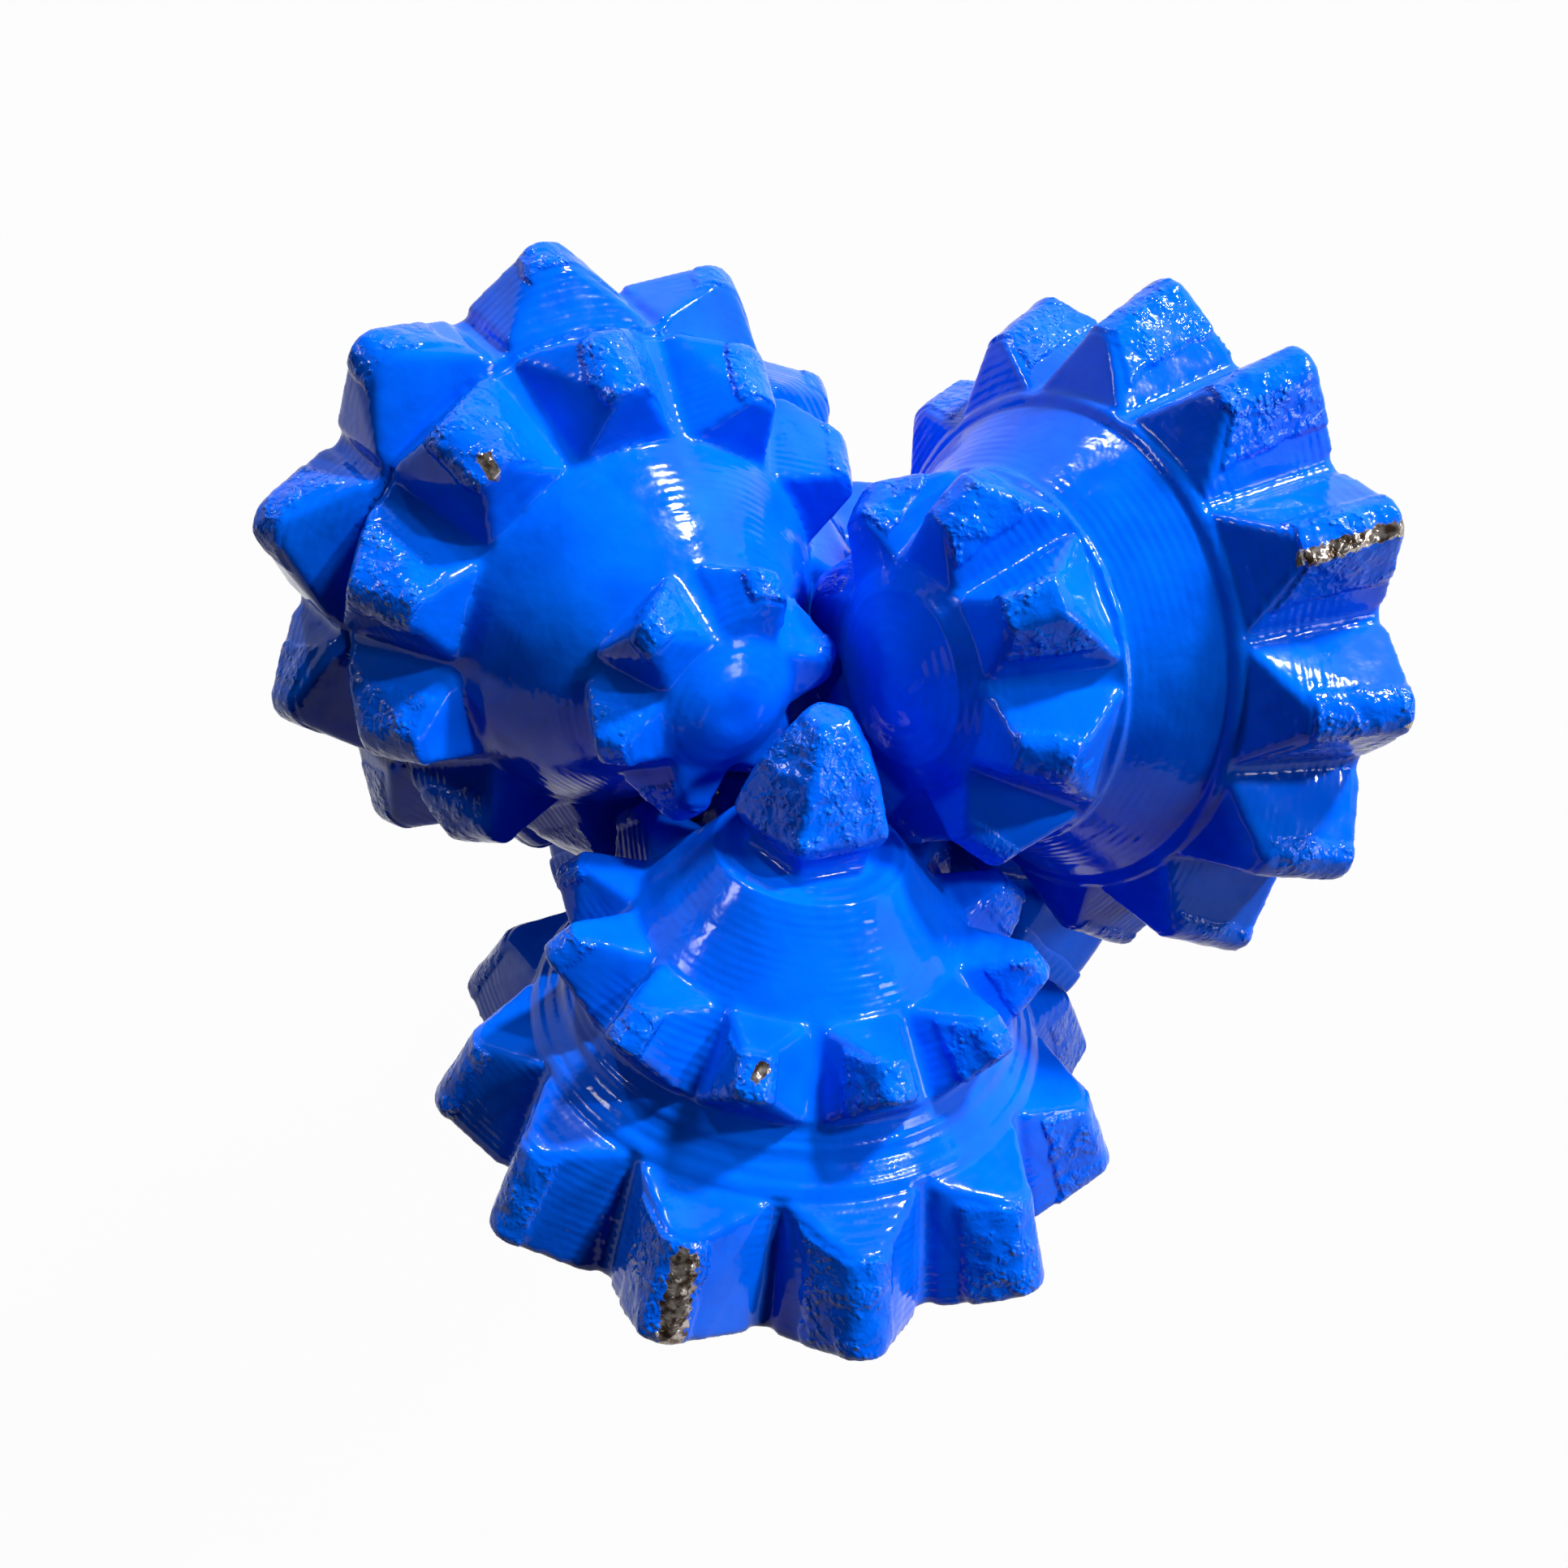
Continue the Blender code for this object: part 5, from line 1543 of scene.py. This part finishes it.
@dataclass
class RollingSet:
    """A full complement of rollers or balls between a journal and its cone.

    Attributes:
        name: Name of the piece, without its number.
        node: The CAD node that it stands for, without its number.
        body: The body that it moves with, without its number.
        count: Number of rolling pieces.
        pitch: Radius of the circle that they stand on.
        outline: (radius, height) points of one of them, in millimetres.
    """

    name: str
    node: str
    body: str
    count: int
    pitch: float
    outline: Outline

    def build(self, number: int, place: Matrix) -> None:
        """Places all the pieces of the set round the journal, as one visible piece."""
        one = turned(in_mm(self.outline), 20)
        work = bmesh.new()
        for index in range(self.count):
            turn = Matrix.Rotation(2 * math.pi * index / self.count, 4, "Z")
            copy = one.copy()
            copy.transform(turn @ Matrix.Translation((self.pitch, 0, 0)))
            work.from_mesh(copy)
            bpy.data.meshes.remove(copy)
        bpy.data.meshes.remove(one)
        mesh = finished(work, self.name)
        store(mesh, Mask.ALONG, points_of(mesh)[:, 2])
        mesh.transform(place)
        place_piece(f"{self.name}_{number}", mesh, f"{self.body}_{number}", "bearing_steel",
                    GROUND_STEEL, f"{self.node}_{number}")


def ball_outline(radius: float, centre: float, sides: int = 12) -> Outline:
    """Gives the half circle that turns into a ball, from its top to its bottom."""
    turns = [math.pi * index / sides for index in range(1, sides)]
    side = [(radius * math.sin(turn), centre + radius * math.cos(turn)) for turn in turns]
    return [(0.0, centre + radius), *side, (0.0, centre - radius)]


def ring_outline(radius: float, middle: float, centre: float, sides: int = 24) -> Outline:
    """Gives a round section off the axis, such as a seal ring's."""
    return [(middle + radius * math.cos(-2 * math.pi * index / sides),
             centre + radius * math.sin(-2 * math.pi * index / sides)) for index in range(sides)]


@dataclass
class Bearing:
    """Everything that turns or slides between one journal and its cone."""

    number: int

    def build(self) -> None:
        """Builds the rollers, balls, bushing, washer, button and seal."""
        place = JOURNALS.matrix(LEG_AZIMUTHS[self.number - 1])
        roller = [(0, 86.4), (4.0, 86.4), (4.45, 85.9), (4.45, 71.5), (4.0, 71.0), (0, 71.0)]
        bush = [(16.8, 48.1), (16.8, 38.2), (16.4, 37.8), (13.7, 37.8), (13.4, 38.1), (13.4, 48.1),
                (13.7, 48.4), (16.5, 48.4)]
        washer = [(21.5, 50.7), (21.5, 49.3), (21.2, 49.0), (13.7, 49.0), (13.5, 49.2), (13.5, 50.8),
                  (13.7, 51.0), (21.2, 51.0)]
        button = [(0, 40.7), (9.6, 40.7), (10, 40.3), (10, 38.1), (9.6, 37.7), (0, 37.7)]
        for rolling in (
            RollingSet("roller_set", "main_rollers", "rollers", 20, 28.13 * MM, roller),
            RollingSet("ball_set", "retaining_balls", "balls", 14, BALL_PITCH,
                       ball_outline(5.45, BALL_CENTRE / MM)),
        ):
            rolling.build(self.number, place)
        for part in (
            TurnedPart("nose_bush", "nose_bushing", bush, BRONZE, "bearing_bronze"),
            TurnedPart("thrust_ring", "thrust_washer", washer, BRONZE, "bearing_bronze"),
            TurnedPart("nose_button", "thrust_button", button, GROUND_STEEL, "bearing_steel"),
            TurnedPart("journal_seal", "cone_seal", ring_outline(2.9, 29.9, 90.8), RUBBER, "seal_rubber"),
        ):
            part.build(self.number, place, f"cone_{self.number}")


@dataclass
class LegFittings:
    """The parts that are fitted into one leg: plug, grease reservoir and nozzle."""

    leg: Leg

    def pointing(self, start: Vector, end: Vector) -> Matrix:
        """Lays +Z along a line of the leg's frame and gives the matrix to the bit's."""
        direction = (end - start).to_track_quat("Z", "Y").to_matrix().to_4x4()
        return Matrix.Rotation(self.leg.azimuth, 4, "Z") @ Matrix.Translation(start) @ direction

    def build(self) -> None:
        """Builds all the fittings of the leg, from outlines in millimetres."""
        leg = self.leg
        race, outside = leg.ball_hole_ends()
        far = (outside - race).length / MM
        plug = [(0, far - 5.6), (2.6, far - 5.7), (4.6, far - 6.3), (5.5, far - 7.1), (5.8, far - 8.0),
                (5.8, 13.0), (5.5, 12.6), (0, 12.6)]
        diaphragm = [(0, 2.5), (9.5, 2.5), (11.6, 3.6), (12.0, 5.0), (12.0, 12.4), (14.2, 12.4),
                     (14.2, 1.5), (13.0, 0.3), (0, 0.3)]
        lid = [(13.7, 17.8), (14.2, 17.3), (14.2, 13.3), (13.7, 12.8), (3.0, 12.8), (3.0, 16.6),
               (3.8, 17.3), (6.8, 17.3), (7.2, 16.7), (8.6, 16.7), (9.0, 17.8)]
        nozzle = [(9.0, 178.3), (10.6, 178.3), (11.9, 177.0), (11.9, 160.9), (11.3, 160.3), (9.2, 160.3),
                  (8.2, 161.8), (7.0, 164.2), (6.1, 167.2), (5.62, 170.5), (5.55, 174.0), (5.55, 177.2),
                  (6.0, 177.8), (8.2, 177.8)]
        o_ring = [(13.9, 167.0), (13.9, 165.0), (13.4, 164.9), (12.4, 164.9), (12.2, 165.1),
                  (12.2, 166.9), (12.4, 167.1), (13.4, 167.1)]
        hole = self.pointing(race, outside)
        floor = Vector((leg.waist_radius - leg.reservoir_depth, JOURNALS.offset, leg.reservoir_height))
        pocket = self.pointing(floor, floor + Vector((1, 0, 0)))
        seat = Matrix.Rotation(leg.azimuth, 4, "Z") @ Matrix.Translation(leg.nozzle_foot)
        for part, place in (
            (TurnedPart("plug", "ball_plug", plug, PAINT, "bearing_steel"), hole),
            (TurnedPart("grease_diaphragm", "reservoir_diaphragm", diaphragm, RUBBER, "seal_rubber"), pocket),
            (TurnedPart("reservoir_lid", "reservoir_cap", lid, PLAIN_STEEL, "cap_steel"), pocket),
            (SnapRing("reservoir_spring_ring", "reservoir_snap_ring", 12.4 * MM, 15.4 * MM, 18.1 * MM),
             pocket),
            (TurnedPart("nozzle", "jet_nozzle", nozzle, CARBIDE, "nozzle_carbide"), seat),
            (TurnedPart("nozzle_o_ring", "nozzle_seal", o_ring, RUBBER, "seal_rubber"), seat),
            (SnapRing("nozzle_spring_ring", "nozzle_retaining_ring", 10.1 * MM, 13.1 * MM, 178.6 * MM), seat),
        ):
            part.build(leg.number, place, "legs")


# Studio


@dataclass
class Studio:
    """The floor, the light and the camera.

    Attributes:
        lens: Focal length of the camera.
        eye: Where the camera stands.
        right: Direction of the picture's right side.
        down: Direction of the picture's lower side.
        forward: Direction that the camera looks in.
        wall_radius: Radius of the backdrop.
        wall_height: Height of its wall.
        wall_slope: Width and height of the slope between floor and wall.
        floor_gap: Distance between the pin's end and the floor.
        whiteness: How much of the backdrop's look is plain white.
        fill: Strength of the world's light.
        lamp_spread: Angle of the beam that a lamp's honeycomb lets through.
        lamp_aim: Height that the lamps point at.
    """

    lens: float = 31.886
    eye: Place = (0.02095, -0.02905, 0.54166)
    right: Place = (0.99356, -0.05211, -0.10040)
    down: Place = (-0.05954, -0.99567, -0.07190)
    forward: Place = (-0.09619, 0.07743, -0.99230)
    wall_radius: float = 4.0
    wall_height: float = 1.5
    wall_slope: float = 0.3
    floor_gap: float = 1 * MM
    whiteness: float = 0.97
    fill: float = 0.015
    lamp_spread: float = math.radians(70)
    lamp_aim: float = 0.28

    def camera(self) -> None:
        """Adds the camera at the photograph's place."""
        data = bpy.data.cameras.new("camera")
        data.lens = self.lens
        data.sensor_width = 36
        data.clip_start = 0.01
        camera = added("camera", data)
        axes = Matrix((Vector(self.right), -Vector(self.down), -Vector(self.forward))).transposed()
        camera.matrix_world = Matrix.Translation(self.eye) @ axes.to_4x4()
        bpy.context.scene.camera = camera

    def lamp(self, name: str, azimuth: float, elevation: float, distance: float, size: tuple[float, float],
             power: float) -> None:
        """Adds a soft lamp that faces the cones.

        Args:
            name: Its name.
            azimuth: Its direction from the cones, in degrees.
            elevation: Its height above the level, in degrees.
            distance: How far off it stands.
            size: Its width and height.
            power: Its power in watts.
        """
        data = bpy.data.lights.new(name, "AREA")
        data.shape = "RECTANGLE"
        data.size, data.size_y = size
        data.energy = power
        data.spread = self.lamp_spread
        turn, rise = math.radians(azimuth), math.radians(elevation)
        way = Vector((math.cos(turn) * math.cos(rise), math.sin(turn) * math.cos(rise), math.sin(rise)))
        spot = Matrix.Translation(UP * self.lamp_aim + way * distance)
        added(name, data).matrix_world = spot @ way.to_track_quat("Z", "Y").to_matrix().to_4x4()

    def pale(self, name: str) -> bpy.types.Material:
        """Makes a pale matt material that stands white behind the object and still takes its shadow."""
        made = bpy.data.materials.new(name)
        made.use_nodes = True
        nodes = Nodes(made.node_tree)
        shader = made.node_tree.nodes["Principled BSDF"]
        grain = nodes.step(nodes.noise(30.0, 4.0), 0.3, 0.7)
        colour = nodes.mix(grain, (0.44, 0.44, 0.45, 1), (0.50, 0.50, 0.50, 1))
        nodes.join(colour, shader.inputs["Base Color"])
        shader.inputs["Roughness"].default_value = 0.8
        glow = nodes.add("ShaderNodeEmission")
        glow.inputs["Strength"].default_value = 1.0
        path = nodes.add("ShaderNodeLightPath")
        bent = nodes.math("MAXIMUM", path.outputs["Is Glossy Ray"], path.outputs["Is Transmission Ray"])
        seen = nodes.math("MAXIMUM", path.outputs["Is Camera Ray"], bent)
        blend = nodes.add("ShaderNodeMixShader")
        nodes.join(nodes.math("MULTIPLY", seen, self.whiteness), blend.inputs[0])
        nodes.join(shader.outputs[0], blend.inputs[1])
        nodes.join(glow.outputs[0], blend.inputs[2])
        nodes.join(blend.outputs[0], made.node_tree.nodes["Material Output"].inputs["Surface"])
        return made

    def backdrop(self) -> None:
        """Adds the round pale floor with its low wall behind."""
        outline = [(self.wall_radius, self.wall_height), (self.wall_radius, self.wall_slope),
                   (self.wall_radius - self.wall_slope, 0), (0, 0)]
        mesh = turned([(radius, height - self.floor_gap) for radius, height in outline], 96, closed=False)
        mesh.shade_smooth()
        mesh.materials.append(self.pale("pale_backdrop"))
        floor = added("floor", mesh)
        floor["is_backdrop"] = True

    def world(self) -> None:
        """Sets a dim sky-blue world that fills the shadows a little."""
        world = bpy.data.worlds.new("studio")
        bpy.context.scene.world = world
        world.use_nodes = True
        background = world.node_tree.nodes["Background"]
        background.inputs["Color"].default_value = (0.85, 0.92, 1.0, 1)
        background.inputs["Strength"].default_value = self.fill

    def build(self) -> None:
        """Sets up the whole studio."""
        self.camera()
        self.backdrop()
        self.world()
        self.lamp("key", 47, 25, 1.0, (0.13, 0.08), 1.95)
        self.lamp("low", -12, 22, 1.2, (0.32, 0.20), 0.5)
        self.lamp("front", 22, 36, 1.0, (0.07, 0.05), 0.75)
        self.lamp("rim", 106, 22, 1.0, (0.05, 0.10), 0.38)
        self.lamp("side", 150, 30, 1.2, (0.16, 0.12), 0.25)
        bpy.context.scene.view_settings.view_transform = "Standard"


def main() -> None:
    """Builds the dressed bit round its frame, and the studio round the bit."""
    logging.basicConfig(level=logging.INFO, format="%(name)s: %(message)s")
    Studio().build()
    for cone in all_cones():
        cone.build(CAD_BOX)
    for number, azimuth in enumerate(LEG_AZIMUTHS, start=1):
        leg = Leg(number)
        leg.build()
        LegFittings(leg).build()
        Bearing(number).build()
        SeamWeld(number, azimuth + math.pi / 3).build()
    ThreadedPin().build()


if __name__ == "__main__":
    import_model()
    CAD_BOX = [list(corner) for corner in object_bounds()]
    main()
